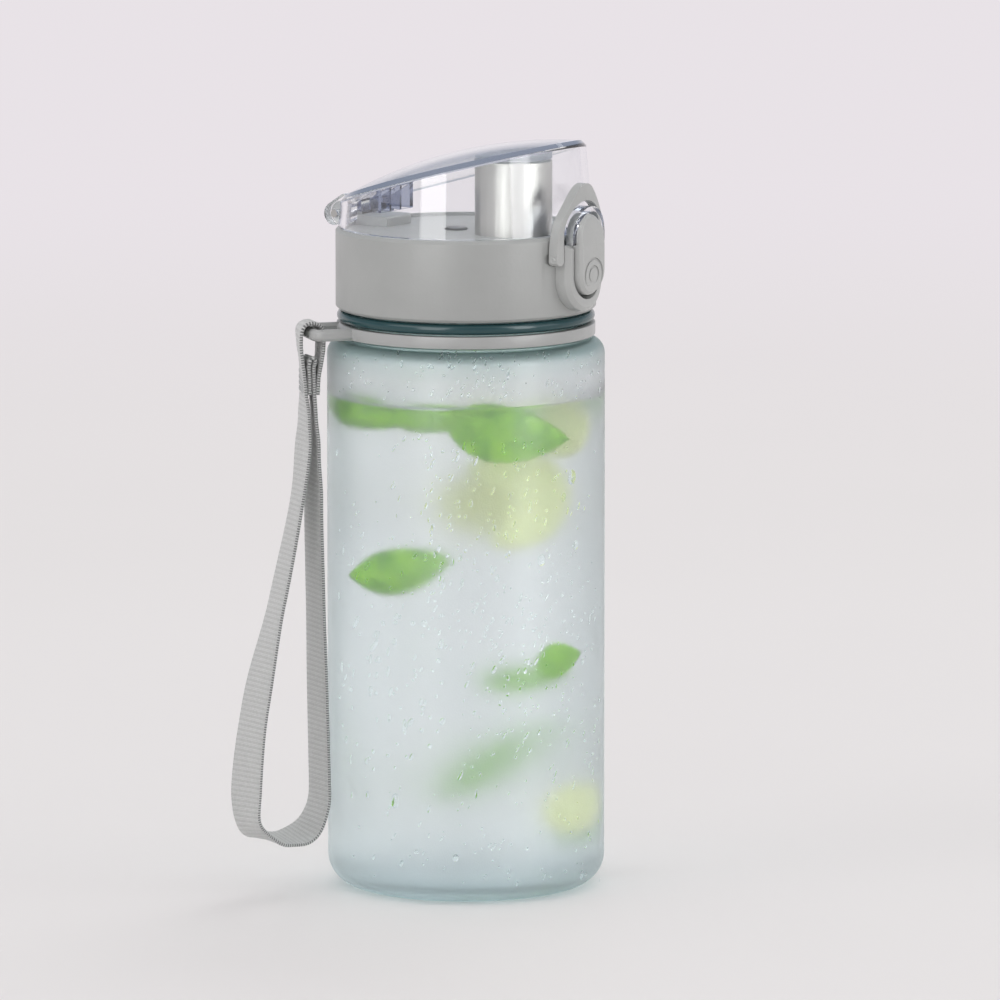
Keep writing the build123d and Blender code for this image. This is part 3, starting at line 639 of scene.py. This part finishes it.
def webbing_material():
    """Woven tape with painted shade in its grooves: ribs across, fine warp threads along and a dotted
    selvedge, by the tape's own measure.
    """
    rim_start, rim_full = 4.68, 4.78
    material, tree, shader = new_material("webbing", 0.75, Sheen_Weight=0.3, Sheen_Roughness=0.5)
    measure = add_node(tree, "UVMap").outputs["UV"]
    across, along = part_of(tree, measure, "X"), part_of(tree, measure, "Y")

    def wave(value, pitch, shift=0.0):
        """Wave between nothing and one."""
        sine = calculate(tree, "SINE", calculate(tree, "MULTIPLY_ADD", value, FULL_TURN / pitch, shift))
        return calculate(tree, "MULTIPLY_ADD", sine, 0.5, 0.5)

    # Painted shade: the ribs are darker in their troughs
    ribbed = ramp(tree, wave(along, RIB_PITCH), [
        (0.0, (0.55, 0.56, 0.55)), (0.5, (0.615, 0.625, 0.615)), (1.0, (0.645, 0.655, 0.645)),
    ])
    # Painted shade: darker in the grooves between the fine threads, where the bump is low
    fine = calculate(tree, "MULTIPLY", wave(across, THREAD_GAP), wave(along, RIB_PITCH / 3))
    threads = ramp(tree, fine, [(0.0, (0.75, 0.75, 0.75)), (0.6, (1.0, 1.0, 1.0))])
    threaded = mixed_colours(tree, 0.35, ribbed, threads, "MULTIPLY")
    # Painted shade: the selvedge is dark between its dots, in the troughs of its ribs
    dots = wave(along, RIB_PITCH / 2, SELVEDGE_LAG)
    dotted = ramp(tree, dots, [(0.35, (0.15, 0.155, 0.155)), (0.65, (0.62, 0.63, 0.62))])
    rim = rescale(tree, calculate(tree, "ABSOLUTE", across), rim_start, rim_full)
    edged = mixed_colours(tree, rim, threaded, dotted)
    speckle = noise(tree, coordinates(tree), 1500.0)
    specks = ramp(tree, speckle, [(0.35, (0.8, 0.8, 0.8)), (0.6, (1, 1, 1))])
    feed(tree, shader, Base_Color=mixed_colours(tree, 0.4, edged, specks, "MULTIPLY"))
    add_bump(tree, shader, fine, 0.00012)
    return material


finishes = {
    "cap_plastic": moulded("cap_plastic", (0.375, 0.385, 0.375), 0.42),
    "latch_plastic": moulded("latch_plastic", (0.44, 0.45, 0.44), 0.36),
    "ring_plastic": moulded("ring_plastic", (0.395, 0.402, 0.395), 0.34),
    "teal_silicone": moulded("teal_silicone", (0.015, 0.060, 0.066), 0.18, grain=300.0, depth=0.00002),
    "strainer_plastic": clear_material("strainer_plastic", (0.80, 0.84, 0.85), 0.06, 1.49),
    "clear_plastic": clear_lid_material(),
    "clear_silicone": clear_material("clear_silicone", (0.86, 0.88, 0.88), 0.35, 1.41),
    "spout_steel": brushed_steel("spout_steel", (0.05, 0.05, 1.0)),
    "pin_steel": brushed_steel("pin_steel", (0.05, 1.0, 1.0), roughness=0.2),
    "frosted_body": frosted_material(),
    "webbing": webbing_material(),
}
stitch_thread = moulded("stitch_thread", (0.52, 0.53, 0.53), 0.6, grain=2500.0, depth=0.0001)
clear_wall = clear_material("clear_wall", (0.985, 0.995, 0.995), 0.03, 1.5, share=0.97)
water = clear_material("water", (0.965, 0.99, 0.99), 0.0, 1.33, share=1.0)
# The drops' tint, a little darker and greener than the drink's, is painted shade that makes them show as
# darker marks
drop_water = clear_material("drop_water", (0.92, 0.96, 0.945), 0.0, 1.37, share=0.95)
leaf_green = leaf_material()
lemon = lemon_material()
for subpart in frame["record"]["subparts"]:
    for material_slot in nodes[subpart["node"]].material_slots:
        material_slot.material = finishes[subpart["material_slot"]]

# Small rounds on the moulded edges, in millimetres
for node, width in (
    ("cap_shell", 0.25), ("latch_housing", 0.3), ("release_button", 0.3), ("strap_ring", 0.25),
    ("hinge_block", 0.25), ("spout", 0.1),
):
    nodes[node].modifiers.new("weld", "WELD").merge_threshold = 0.00001
    round_edges(nodes[node], width, 28)


# Strap: one band of webbing, an eye round the lug's bar and a twisted hanging loop

strap_out = Vector((-0.747798, 0.663926, 0))
strap_across = Vector((0.663926, 0.747798, 0))
RING_STEP = RIB_PITCH / RIB_STEPS


def smooth_line(name, route):
    """Points in millimetres, a small step apart, along the spline that a route controls."""
    curve = bpy.data.curves.new(name, "CURVE")
    curve.dimensions = "3D"
    curve.resolution_u = 48
    spline = curve.splines.new("NURBS")
    spline.points.add(len(route) - 1)
    for point, (out, across, height, _) in zip(spline.points, route):
        place = (strap_out * out + strap_across * across) * MM
        point.co = (place.x, place.y, height * MM, 1)
    spline.order_u = 3
    spline.use_endpoint_u = True
    carrier = place_object(name, curve)
    bpy.context.view_layer.update()
    mesh = bpy.data.meshes.new_from_object(carrier)
    line = [vertex.co / MM for vertex in mesh.vertices]
    bpy.data.objects.remove(carrier)
    bpy.data.meshes.remove(mesh)
    travelled = [0.0]
    for before, after in zip(line, line[1:]):
        travelled.append(travelled[-1] + (after - before).length)
    count = int(travelled[-1] / RING_STEP)
    points, place = [], 0
    for step in range(count + 1):
        distance = travelled[-1] * step / count
        while travelled[place + 1] < distance and place < len(line) - 2:
            place += 1
        gap = travelled[place + 1] - travelled[place]
        points.append(line[place].lerp(line[place + 1], (distance - travelled[place]) / gap))
    return points


def twist_along(points, route):
    """The webbing's twist at each point, between the values given at the route's points."""
    marks = []
    start = 0
    for out, across, height, twist in route:
        place = strap_out * out + strap_across * across + UP * height
        start = min(range(start, len(points)), key=lambda index: (points[index] - place).length)
        marks.append((start, twist))
    twists = []
    for index in range(len(points)):
        before = [mark for mark in marks if mark[0] <= index][-1]
        after = next((mark for mark in marks if mark[0] > index), marks[-1])
        gap = after[0] - before[0]
        share = (index - before[0]) / gap if gap > 0 else 0.0
        share = share * share * (3 - 2 * share)
        twists.append(before[1] + (after[1] - before[1]) * share)
    return twists


def half_thickness(share, phase):
    """Half of the webbing's thickness at a share of its half width, with ribs, selvedge and crease."""
    edge = abs(share)
    ribs = RIB_DEPTH * sin(phase * 2 + SELVEDGE_LAG if edge > SELVEDGE_SHARE else phase)
    crease = CREASE_DEPTH if CREASE_START < edge < CREASE_END else 0.0
    rounding = max(rounded_off(edge, CREASE_START), SELVEDGE_LEAST_SHARE)
    return (WEBBING_HALF - RIB_ROOM - crease + ribs) * rounding


def tape(points, twists):
    """Points, faces and tape measures of ribbed webbing along a line."""
    half_width = WEBBING_WIDTH / 2
    section = HALF_TAPE_SHARES + [0.0] + [-share for share in reversed(HALF_TAPE_SHARES)]
    verts, measures = [], []
    for index, point in enumerate(points):
        ahead = ahead_at(points, index)
        twist = radians(twists[index])
        side = strap_across * cos(twist) + strap_across.cross(ahead).normalized() * sin(twist)
        side = (side - ahead * side.dot(ahead)).normalized()
        out = ahead.cross(side)
        phase = FULL_TURN * index / RIB_STEPS
        for face, order in ((1, section), (-1, section[::-1])):
            for share in order:
                thick = half_thickness(share, phase)
                verts.append(tuple(point + side * share * half_width + out * face * thick))
                measures.append((share * half_width, index * RING_STEP))
    return verts, capped(len(points), 2 * len(section), turned=True), measures


def tape_piece(name, route):
    """Webbing along a route, with the points that it follows."""
    points = smooth_line(name + "_line", route)
    verts, faces, measures = tape(points, twist_along(points, route))
    piece = add_object(name, verts, faces, "strap", "webbing")
    layer = piece.data.uv_layers.new(name="tape")
    for loop in piece.data.loops:
        layer.data[loop.index].uv = measures[loop.vertex_index]
    return piece, points


def stitches():
    """Sewing thread through the bundle: a box of short stitches on each outer face."""
    points, faces = [], []
    lean = radians(BUNDLE_TWIST)
    side = strap_across * cos(lean) + strap_out * sin(lean)
    outward = strap_out * cos(lean) - strap_across * sin(lean)
    for face, middle in STITCH_FACES:
        for across in STITCH_COLUMNS:
            for height in STITCH_ROWS:
                foot = strap_out * middle + side * across
                path = [foot + UP * (height + along) + outward * face * rise for along, rise in STITCH_BOW]
                add_shape(points, faces, *tube(path, STITCH_THREAD_RADIUS, 6))
    return add_object("strap_stitches", points, faces, "strap", "webbing", stitch_thread)


loop_piece, loop_line = tape_piece("strap_loop", LOOP_ROUTE)
eye_piece = tape_piece("strap_eye", EYE_ROUTE)[0]
stitch_piece = stitches()
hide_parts("strap")


# Bottle body: round corners, frosted outside and clear inside

def body_profile():
    """Closed profile of the body, from the recess under it up outside and down inside."""
    base, shoulder = BASE_CORNER - BODY_WALL, SHOULDER_CORNER - BODY_WALL
    ring_inside, ring_outside, ring_rise = 0.5, 0.4, 0.12
    return [
        (0, FOOT_RECESS), (FOOT_RING_RADIUS - FOOT_SLOPE, FOOT_RECESS),
        (FOOT_RING_RADIUS - ring_inside, ring_rise), (FOOT_RING_RADIUS + ring_outside, 0),
        *arc((BODY_RADIUS - BASE_CORNER, BASE_CORNER), BASE_CORNER, -90, 0),
        *arc((BODY_RADIUS - SHOULDER_CORNER, SHOULDER_HEIGHT - SHOULDER_CORNER), SHOULDER_CORNER, 0, 90),
        (STEP_RADIUS + STEP_FILLET, SHOULDER_HEIGHT), (STEP_RADIUS, SHOULDER_HEIGHT + STEP_FILLET),
        (STEP_RADIUS, STEP_HEIGHT - STEP_ROUND), (STEP_RADIUS - STEP_ROUND, STEP_HEIGHT),
        (NECK_RADIUS + STEP_FILLET, STEP_HEIGHT), (NECK_RADIUS, STEP_HEIGHT + STEP_FILLET),
        *arc((NECK_RADIUS - LIP_ROUND, NECK_TOP - LIP_ROUND), LIP_ROUND, 0, 90, 4),
        *arc((NECK_BORE + LIP_ROUND, NECK_TOP - LIP_ROUND), LIP_ROUND, 90, 180, 4),
        (NECK_BORE, CAVITY_TOP + BORE_EASE), (NECK_BORE + BORE_EASE, CAVITY_TOP),
        *arc((BODY_BORE - shoulder, CAVITY_TOP - shoulder), shoulder, 90, 0),
        *arc((BODY_BORE - base, FLOOR_TOP + base), base, 0, -90),
        (0, FLOOR_TOP),
    ]


def is_inside(place):
    """Whether a point on the body, in millimetres, is on its inner wall."""
    near = 0.1
    reach = hypot(place.x, place.y)
    in_bore = reach < BODY_BORE + near and place.z > FLOOR_TOP - near
    return in_bore and (reach < NECK_BORE + near or place.z < CAVITY_TOP + near)


body_piece = add_object("bottle_shell", *lathe(body_profile()), "bottle", "frosted_body", sharp=40)
body_piece.data.materials.append(clear_wall)
for polygon in body_piece.data.polygons:
    if is_inside(polygon.center / MM):
        polygon.material_index = 1
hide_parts("bottle_body")


# Screw threads of neck and cap

def helix_ridge(radius, rise, base, turns, half_root):
    """Screw ridge that tapers out at both ends; the rise is negative for a thread inside a bore."""
    count = int(THREAD_STEPS * turns)
    root = radius - copysign(THREAD_ROOT_SINK, rise)
    points = []
    for step in range(count + 1):
        share = step / count
        angle = FULL_TURN * turns * share
        height = base + THREAD_PITCH * turns * share
        crest = radius + rise * min(1.0, share / THREAD_FADE_SHARE, (1 - share) / THREAD_FADE_SHARE)
        for reach, lift in (
            (root, -half_root), (crest, -THREAD_CREST), (crest, THREAD_CREST), (root, half_root),
        ):
            points.append(polar(reach, angle, height + lift))
    faces = capped(count + 1, 4)
    return points, flipped(faces) if rise > 0 else faces


neck_ridge = helix_ridge(NECK_RADIUS, rise=0.7, base=153.2, turns=2.6, half_root=0.9)
add_object("neck_thread", *neck_ridge, "bottle", "frosted_body", clear_wall, sharp=30)
cap_ridge = helix_ridge(CAP_BORE, rise=-0.6, base=152.6, turns=2.4, half_root=0.8)
add_object("cap_thread", *cap_ridge, "cap", "cap_plastic", sharp=30)

# Rubber ring: a round section in place of the faceted one
oring_low, oring_high = in_mm(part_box("neck_oring"))
oring_radius = (oring_high[2] - oring_low[2]) / 2
oring_middle = (oring_high[0] - oring_radius, (oring_high[2] + oring_low[2]) / 2)
oring_circle = arc(oring_middle, oring_radius, 0, 360, 20)[:-1]
oring_piece = add_object("round_oring", *lathe(oring_circle), "oring", "teal_silicone")
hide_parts("neck_oring")


# Hinge spring: wound wire in place of the plain sleeve

def coil_path(low, high):
    """Points along a coil that fills a box, wound along X."""
    radius = (high[2] - low[2]) / 2 - COIL_WIRE
    middle_y, middle_z = (low[1] + high[1]) / 2, (low[2] + high[2]) / 2
    run = high[0] - low[0] - 2 * COIL_WIRE
    count = COIL_TURNS * COIL_STEPS
    path = []
    for step in range(count + 1):
        across, up, along = polar(radius, FULL_TURN * step / COIL_STEPS, run * step / count)
        path.append((low[0] + COIL_WIRE + along, middle_y + across, middle_z + up))
    return path


coil_line = coil_path(*in_mm(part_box("hinge_spring")))
coil_piece = add_object("hinge_coil", *tube(coil_line, COIL_WIRE, 8), "cap", "pin_steel")
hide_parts("hinge_spring")


# Lock bail: the photograph's pointed arch, bent round the cap, in place of the angular one

def between(stations, share):
    """Smooth curve through the stations, at a share of their number."""
    place = share * (len(stations) - 1)
    index = min(int(place), len(stations) - 2)
    ahead = place - index
    before, start, end, after = [
        Vector(stations[min(max(index + step, 0), len(stations) - 1)]) for step in (-1, 0, 1, 2)
    ]
    return (
        start * 2 + (end - before) * ahead + (before * 2 - start * 5 + end * 4 - after) * ahead**2
        + (start * 3 - before - end * 3 + after) * ahead**3
    ) / 2


def mirrored(stations):
    """The same stations on the bail's other side."""
    return [(-outer, high, -inner, low) for outer, high, inner, low in stations]


def bail_sections():
    """Outside and inside points along the bail, with round ends on its arms."""
    full = mirrored(BAIL_ARCH) + BAIL_ARCH[-2::-1]
    middle, half = sum(BAIL_ARM) / 2, (BAIL_ARM[1] - BAIL_ARM[0]) / 2
    end = []
    for step in range(1, BAIL_END_STEPS + 1):
        # Short of the tip, so that the end keeps a small face
        angle = pi / 2 * step / (BAIL_END_STEPS + 0.5)
        reach, drop = half * cos(angle), half * sin(angle)
        end.append((middle + reach, BAIL_END - drop, middle - reach, BAIL_END - drop))
    arch = [tuple(between(full, step / BAIL_STEPS)) for step in range(BAIL_STEPS + 1)]
    return mirrored(reversed(end)) + arch + end


bail_front = -in_mm(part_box("lock_bail"))[0][1]
bail_back = bail_front - BAIL_THICKNESS
bail_points = []
for outer, high, inner, low in bail_sections():
    for across, height, reach in (
        (outer, high, bail_front), (outer, high, bail_back),
        (inner, low, bail_back), (inner, low, bail_front),
    ):
        bail_points.append((across, -sqrt(reach**2 - across**2), height))
bail_faces = capped(len(bail_points) // 4, 4, turned=True)
bail_piece = add_object("arched_bail", bail_points, bail_faces, "bail", "latch_plastic", sharp=50)
round_edges(bail_piece, 0.45, 50)
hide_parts("lock_bail")

# Rivet heads where the bail's arms turn on their pins
pins_low, pins_high = in_mm(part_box("bail_pins"))
pin_y, pin_z = (pins_low[1] + pins_high[1]) / 2, (pins_low[2] + pins_high[2]) / 2
rivet_points, rivet_faces = [], []
dome_points, dome_faces = lathe(RIVET_PROFILE, 32)
for side in (1, -1):
    add_shape(rivet_points, rivet_faces, [
        (side * (BAIL_ARM[1] + rise), pin_y + flat, pin_z + side * up) for flat, up, rise in dome_points
    ], dome_faces)
add_object("bail_rivets", rivet_points, rivet_faces, "bail", "latch_plastic", sharp=50)


# Contents: water, mint and lemon

def water_profile():
    """Closed profile of the drink, which creeps up the wall at its edge."""
    corner = BASE_CORNER - BODY_WALL
    creep_reach, hollow_reach = 1.0, 3.0
    return [
        (0, FLOOR_TOP - WATER_OVERLAP),
        *arc((BODY_BORE - corner, FLOOR_TOP + corner), corner + WATER_OVERLAP, -90, 0),
        (BODY_BORE + WATER_OVERLAP, WATER_HEIGHT + WATER_CREEP), (BODY_BORE - creep_reach, WATER_HEIGHT),
        (BODY_BORE - hollow_reach, WATER_HEIGHT - WATER_HOLLOW), (0, WATER_HEIGHT - WATER_HOLLOW),
    ]


add_object("water", *lathe(water_profile()), "bottle", "clear_plastic", water, sharp=50)


def leaf_grid(length, width, turn, seed, curl=2.0):
    """Points (across, up, out, share of the length) and faces of a serrated leaf, turned by degrees."""
    rows, columns = 54, 16
    teeth, tooth_depth, tooth_slant, stalk_fade, tip_fade = 13, 0.09, 0.12, 4, 6
    widest_power, fullness, most_sway, rib_height, rib_half = 0.82, 0.75, 0.6, 0.35, 0.5
    veins, vein_depth, vein_slant, vein_fade = 7, 0.22, 1.1, 0.3
    lean = radians(turn)
    sway = random.Random(seed).uniform(-most_sway, most_sway)
    points = []
    for row in range(rows + 1):
        share = row / rows
        fade = min(1.0, stalk_fade * share, tip_fade * (1 - share))
        tooth = abs(((share * teeth) % 1.0) - 0.5) * 2 * fade
        swell = sin(pi * share**widest_power) ** fullness if 0 < share < 1 else 0.0
        half = width / 2 * swell * (1 + tooth_depth * tooth)
        for column in range(columns + 1):
            side = 2 * column / columns - 1
            along = length * (share - 0.5) - abs(side) * half * tooth_slant
            across = side * half + sway * sin(pi * share)
            rib = rib_height * exp(-((side * half / rib_half) ** 2))
            vein = sin(FULL_TURN * (share * veins - abs(side) * vein_slant)) * (1 - abs(side)) ** vein_fade
            points.append((
                along * cos(lean) - across * sin(lean),
                along * sin(lean) + across * cos(lean),
                curl * side * side + rib + vein_depth * vein, share,
            ))
    return points, grid(rows, columns)


def add_leaf(name, points, faces):
    """The leaf as a piece with its thickness."""
    leaf = add_object(name, points, faces, "bottle", "teal_silicone", leaf_green)
    leaf.modifiers.new("thickness", "SOLIDIFY").thickness = LEAF_THICKNESS * MM


def wall_leaf(name, angle, height, depths, **leaf):
    """Leaf along the inside of the wall, this deep behind it at its stalk and at its tip."""
    least_depth, clearance = 0.35, 0.5
    rows, faces = leaf_grid(**leaf)
    points = []
    for across, up, relief, share in rows:
        depth = depths[0] + (depths[1] - depths[0]) * share + relief + clearance
        points.append(polar(BODY_BORE - max(least_depth, depth), angle + across / BODY_BORE, height + up))
    add_leaf(name, points, faces)


def leaf_at(name, depths, **leaf):
    """Leaf by the wall, placed where the photograph shows it."""
    wall_leaf(name, *from_photo(*CONTENT_PIXELS[name], BODY_BORE), depths, **leaf)


def floating_leaf(name, depth, tilt, **leaf):
    """Leaf that floats free in the water, its face turned about the upright by tilt in degrees."""
    swing = radians(tilt)
    middle = inside_photo(name, depth)
    side = IMAGE_RIGHT * cos(swing) + FLAT_VIEW * sin(swing)
    face = side.cross(UP)
    rows, faces = leaf_grid(**leaf)
    points = [middle + (side * across + face * relief + UP * up) for across, up, relief, _ in rows]
    add_leaf(name, points, faces)


leaf_at("leaf_top", (5.0, 0.2), length=36, width=14, turn=-8, curl=1.6, seed=1)
leaf_at("leaf_surface_left", (3.0, 5.0), length=40, width=7.5, turn=-1, seed=2)
leaf_at("leaf_surface_mid", (6.0, 5.0), length=36, width=6.5, turn=2, seed=3)
leaf_at("leaf_left", (0.3, 12.0), length=30, width=11, turn=10, curl=3.0, seed=4)
leaf_at("leaf_small", (6.0, 0.2), length=12, width=9, turn=12, curl=0.8, seed=5)
floating_leaf("leaf_tail", -4, 20, length=20, width=6, turn=8, seed=8)
floating_leaf("leaf_deep", -24, 20, length=30, width=6.5, turn=46, seed=6)
floating_leaf("leaf_low", -14, -15, length=14, width=7, turn=70, seed=7)
wall_leaf(
    "leaf_back_left", radians(22), 124.5, (0.6, 3.0), length=30, width=8, turn=4, curl=1.5, seed=21,
)
wall_leaf(
    "leaf_back_right", radians(66), 124.0, (0.6, 3.0), length=26, width=8, turn=-6, curl=1.5, seed=22,
)


def lemon_points(radius, thickness, start, sweep, rings, steps):
    """Points of both faces of a slice with a rounded rind and sunk membranes between its segments."""
    segments, membrane_depth, membrane_power = 9, 0.35, 0.35
    core_share, flesh_share, rind_share, rim_share = 0.12, 0.84, 0.88, 0.95
    points = []
    for face in (1, -1):
        for ring in range(rings + 1):
            share = ring / rings
            for step in range(steps + 1):
                angle = radians(start + sweep * step / steps)
                wall = abs(sin(segments * angle / 2)) ** membrane_power
                swell = membrane_depth * (wall if core_share < share < flesh_share else 1.0)
                edge = thickness / 2 * rounded_off(share, rind_share)
                lift = edge + (swell if share < rim_share else 0.0)
                points.append(polar(radius * share, angle, face * lift))
    return points


def lemon_slice(name, depth, facing, radius, thickness=3.0, start=0, sweep=360, tip=UP):
    """Slice or wedge of lemon where the photograph shows it."""
    rings, steps = 14, 72
    width = steps + 1
    layer = (rings + 1) * width
    faces = flipped(grid(rings, steps)) + grid(rings, steps, layer)
    for ring in range(rings):
        for step in (0, steps):
            first = ring * width + step
            corners = (first, first + width, first + width + layer, first + layer)
            faces.append(corners if step == steps else tuple(reversed(corners)))
    for first in range(rings * width, rings * width + steps):
        faces.append((first, first + layer, first + 1 + layer, first + 1))
    points = lemon_points(radius, thickness, start, sweep, rings, steps)
    piece = add_object(name, points, faces, "bottle", "clear_silicone", lemon)
    normal = facing.normalized()
    upward = (tip - normal * tip.dot(normal)).normalized()
    turn = Matrix((upward.cross(normal), upward, normal)).transposed().to_4x4()
    piece.matrix_world = Matrix.Translation(inside_photo(name, depth) * MM) @ turn
    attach(piece, "bottle")


lemon_slice(
    "lemon_front", 9, FLAT_VIEW + Vector((0.1, -0.2, 0.25)), 13.0, start=-120, sweep=250,
    tip=Vector((0, 0.2, 1)),
)
lemon_slice("lemon_back", -20, UP * 0.3 - FLAT_VIEW, 9.0)
lemon_slice("lemon_low", 0, FLAT_VIEW + Vector((0.2, 0.1, 0.6)), 7.5, thickness=2.5)
lemon_slice("lemon_top", 8, FLAT_VIEW + Vector((0.1, 0, 0.5)), 7.5)


# Condensation: drops and runs on the outside of the body

def drop_spots():
    """Angle, height, radius, length and slant of each drop: in front as the photograph shows them."""
    trail_sway, trail_bends, trail_scatter = 5, 9, 9
    turn_behind, heights_behind = (0.28, 0.72), (12, 138)
    draw = random.Random(DROP_SEED)
    for left, top, right, bottom, count, least, most in DROP_PATCHES:
        for _ in range(count):
            place = from_photo(draw.uniform(left, right), draw.uniform(top, bottom), BODY_RADIUS)
            radius = least + (most - least) * draw.random() ** 2
            stretch = draw.choice([1.0, 1.0, 1.4, 2.0, 3.0])
            yield *place, radius, radius * stretch, draw.uniform(0.1, 0.7)
    for across_pixel, down_pixel, radius, length in SINGLE_DROPS:
        yield *from_photo(across_pixel, down_pixel, BODY_RADIUS), radius, length, 0.15
    for start_pixel, top, bottom, count in BEAD_TRAILS:
        for step in range(count):
            share = step / count
            wander = trail_sway * sin(share * trail_bends) + draw.uniform(-trail_scatter, trail_scatter)
            place = from_photo(start_pixel + wander, top + (bottom - top) * share, BODY_RADIUS)
            radius = draw.uniform(0.25, 0.55)
            yield *place, radius, radius * draw.uniform(1.0, 2.2), draw.uniform(-0.1, 0.5)
    for _ in range(DROPS_BEHIND):
        angle = VIEW_BEARING + draw.uniform(*turn_behind) * FULL_TURN
        radius = 0.2 + 0.5 * draw.random() ** 3
        stretch = draw.choice([1.0, 1.0, 1.6, 2.2])
        yield angle, draw.uniform(*heights_behind), radius, radius * stretch, draw.uniform(-0.3, 0.5)


def drop_shapes(spots):
    """Points and faces of low domes on the body's wall; a long drop sags at its foot."""
    rings, sides = 4, 12
    points, faces = [], []
    for angle, height, radius, length, slant in spots:
        sag = DROP_SAG_SHARE if length > radius * 1.2 else 0.0
        slant_cos, slant_sin = cos(slant), sin(slant)
        faces += skin(rings, sides, first=len(points))
        for ring in range(rings):
            tilt = pi / 2 * ring / rings
            reach = BODY_RADIUS - DROP_SINK + radius * DROP_RISE_SHARE * sin(tilt)
            for side in range(sides):
                turn = FULL_TURN * side / sides
                wide = radius * cos(tilt) * cos(turn) * (1 + sag * max(0.0, -sin(turn)))
                tall = length * cos(tilt) * sin(turn)
                around = wide * slant_cos + tall * slant_sin
                up = tall * slant_cos - wide * slant_sin
                points.append(polar(reach, angle + around / BODY_RADIUS, height + up))
        faces.append(tuple(range(len(points) - sides, len(points))))
    return points, faces


add_object("condensation", *drop_shapes(drop_spots()), "bottle", "clear_plastic", drop_water)


# Studio: pale floor, surroundings and softboxes

def seen_rays(tree):
    """One for the camera's rays, reflections and what passes clear pieces, which show the background."""
    first = calculate(tree, "ADD", light_path(tree, "Is Camera Ray"), light_path(tree, "Is Glossy Ray"))
    return calculate(tree, "ADD", first, light_path(tree, "Is Transmission Ray"), clamp=True)


def floor_material():
    """Pale floor near the object, which turns into the backdrop's own colour away from it."""
    material, tree, shader = new_material("pale_floor", 0.6)
    place = coordinates(tree)
    clouds = noise(tree, place, 3.0)
    feed(tree, shader, Base_Color=clouded(tree, clouds, (0.755, 0.735, 0.725), (0.77, 0.75, 0.74)))
    away = rescale(tree, length_of(tree, place), 0.25, 1.6, shape="SMOOTHSTEP")
    far = ramp(tree, away, [(0.0, (0.75, 0.72, 0.715)), (1.0, (0.81, 0.765, 0.80))])
    backdrop = add_node(tree, "Emission", Color=far)
    mix_surface(tree, calculate(tree, "MULTIPLY", away, seen_rays(tree)), backdrop)
    return material


def floor():
    """Floor far larger than the view."""
    half = 12.0
    mesh = bpy.data.meshes.new("floor")
    corners = [(-half, -half, 0), (half, -half, 0), (half, half, 0), (-half, half, 0)]
    mesh.from_pydata(corners, [], [(0, 1, 2, 3)])
    piece = place_object("floor", mesh)
    mesh.materials.append(floor_material())


def softbox(name, bearing, rise, distance, size, power, lights=True):
    """Area light, or one that only reflections show, at a bearing in degrees from the camera's."""
    light = bpy.data.lights.new(name, "AREA")
    light.shape = "RECTANGLE"
    light.size, light.size_y = size
    light.energy = power
    lamp = place_object(name, light)
    toward = direction(VIEW_BEARING + radians(bearing), radians(rise))
    aim(lamp, UP * SOFTBOX_TARGET, toward, distance)
    lamp.visible_camera = False
    lamp.visible_diffuse = lights


def surroundings():
    """Soft light from all round, seen as pale low down, grey above and white overhead."""
    world = bpy.data.worlds.new("studio")
    bpy.context.scene.world = world
    world.use_nodes = True
    tree = world.node_tree
    tree.nodes.clear()
    shade = ramp(tree, part_of(tree, texture_place(tree, "Generated"), "Z"), [
        (0.10, (0.865, 0.83, 0.86)), (0.32, (0.33, 0.36, 0.43)), (0.55, (0.36, 0.39, 0.45)),
        (0.85, (1.0, 0.99, 1.0)),
    ])
    seen = add_node(tree, "Background", Color=shade)
    light = add_node(tree, "Background", Color=(1.0, 0.985, 1.0, 1), Strength=0.87)
    mix = mixed_shaders(tree, seen_rays(tree), light.outputs[0], seen.outputs[0])
    add_node(tree, "OutputWorld", Surface=mix)


floor()
surroundings()
softbox("key", bearing=-62, rise=38, distance=2.2, size=(1.1, 1.1), power=6)
softbox("left_strip", bearing=-30, rise=22, distance=1.15, size=(0.5, 1.1), power=5.6, lights=False)
softbox("right_strip", bearing=53, rise=22, distance=1.15, size=(0.42, 1.1), power=6.3, lights=False)
softbox("fill", bearing=78, rise=22, distance=2.1, size=(1.0, 1.0), power=3.5)
softbox("back", bearing=155, rise=50, distance=2.4, size=(1.4, 1.0), power=7)
bpy.context.scene.view_settings.view_transform = "Standard"
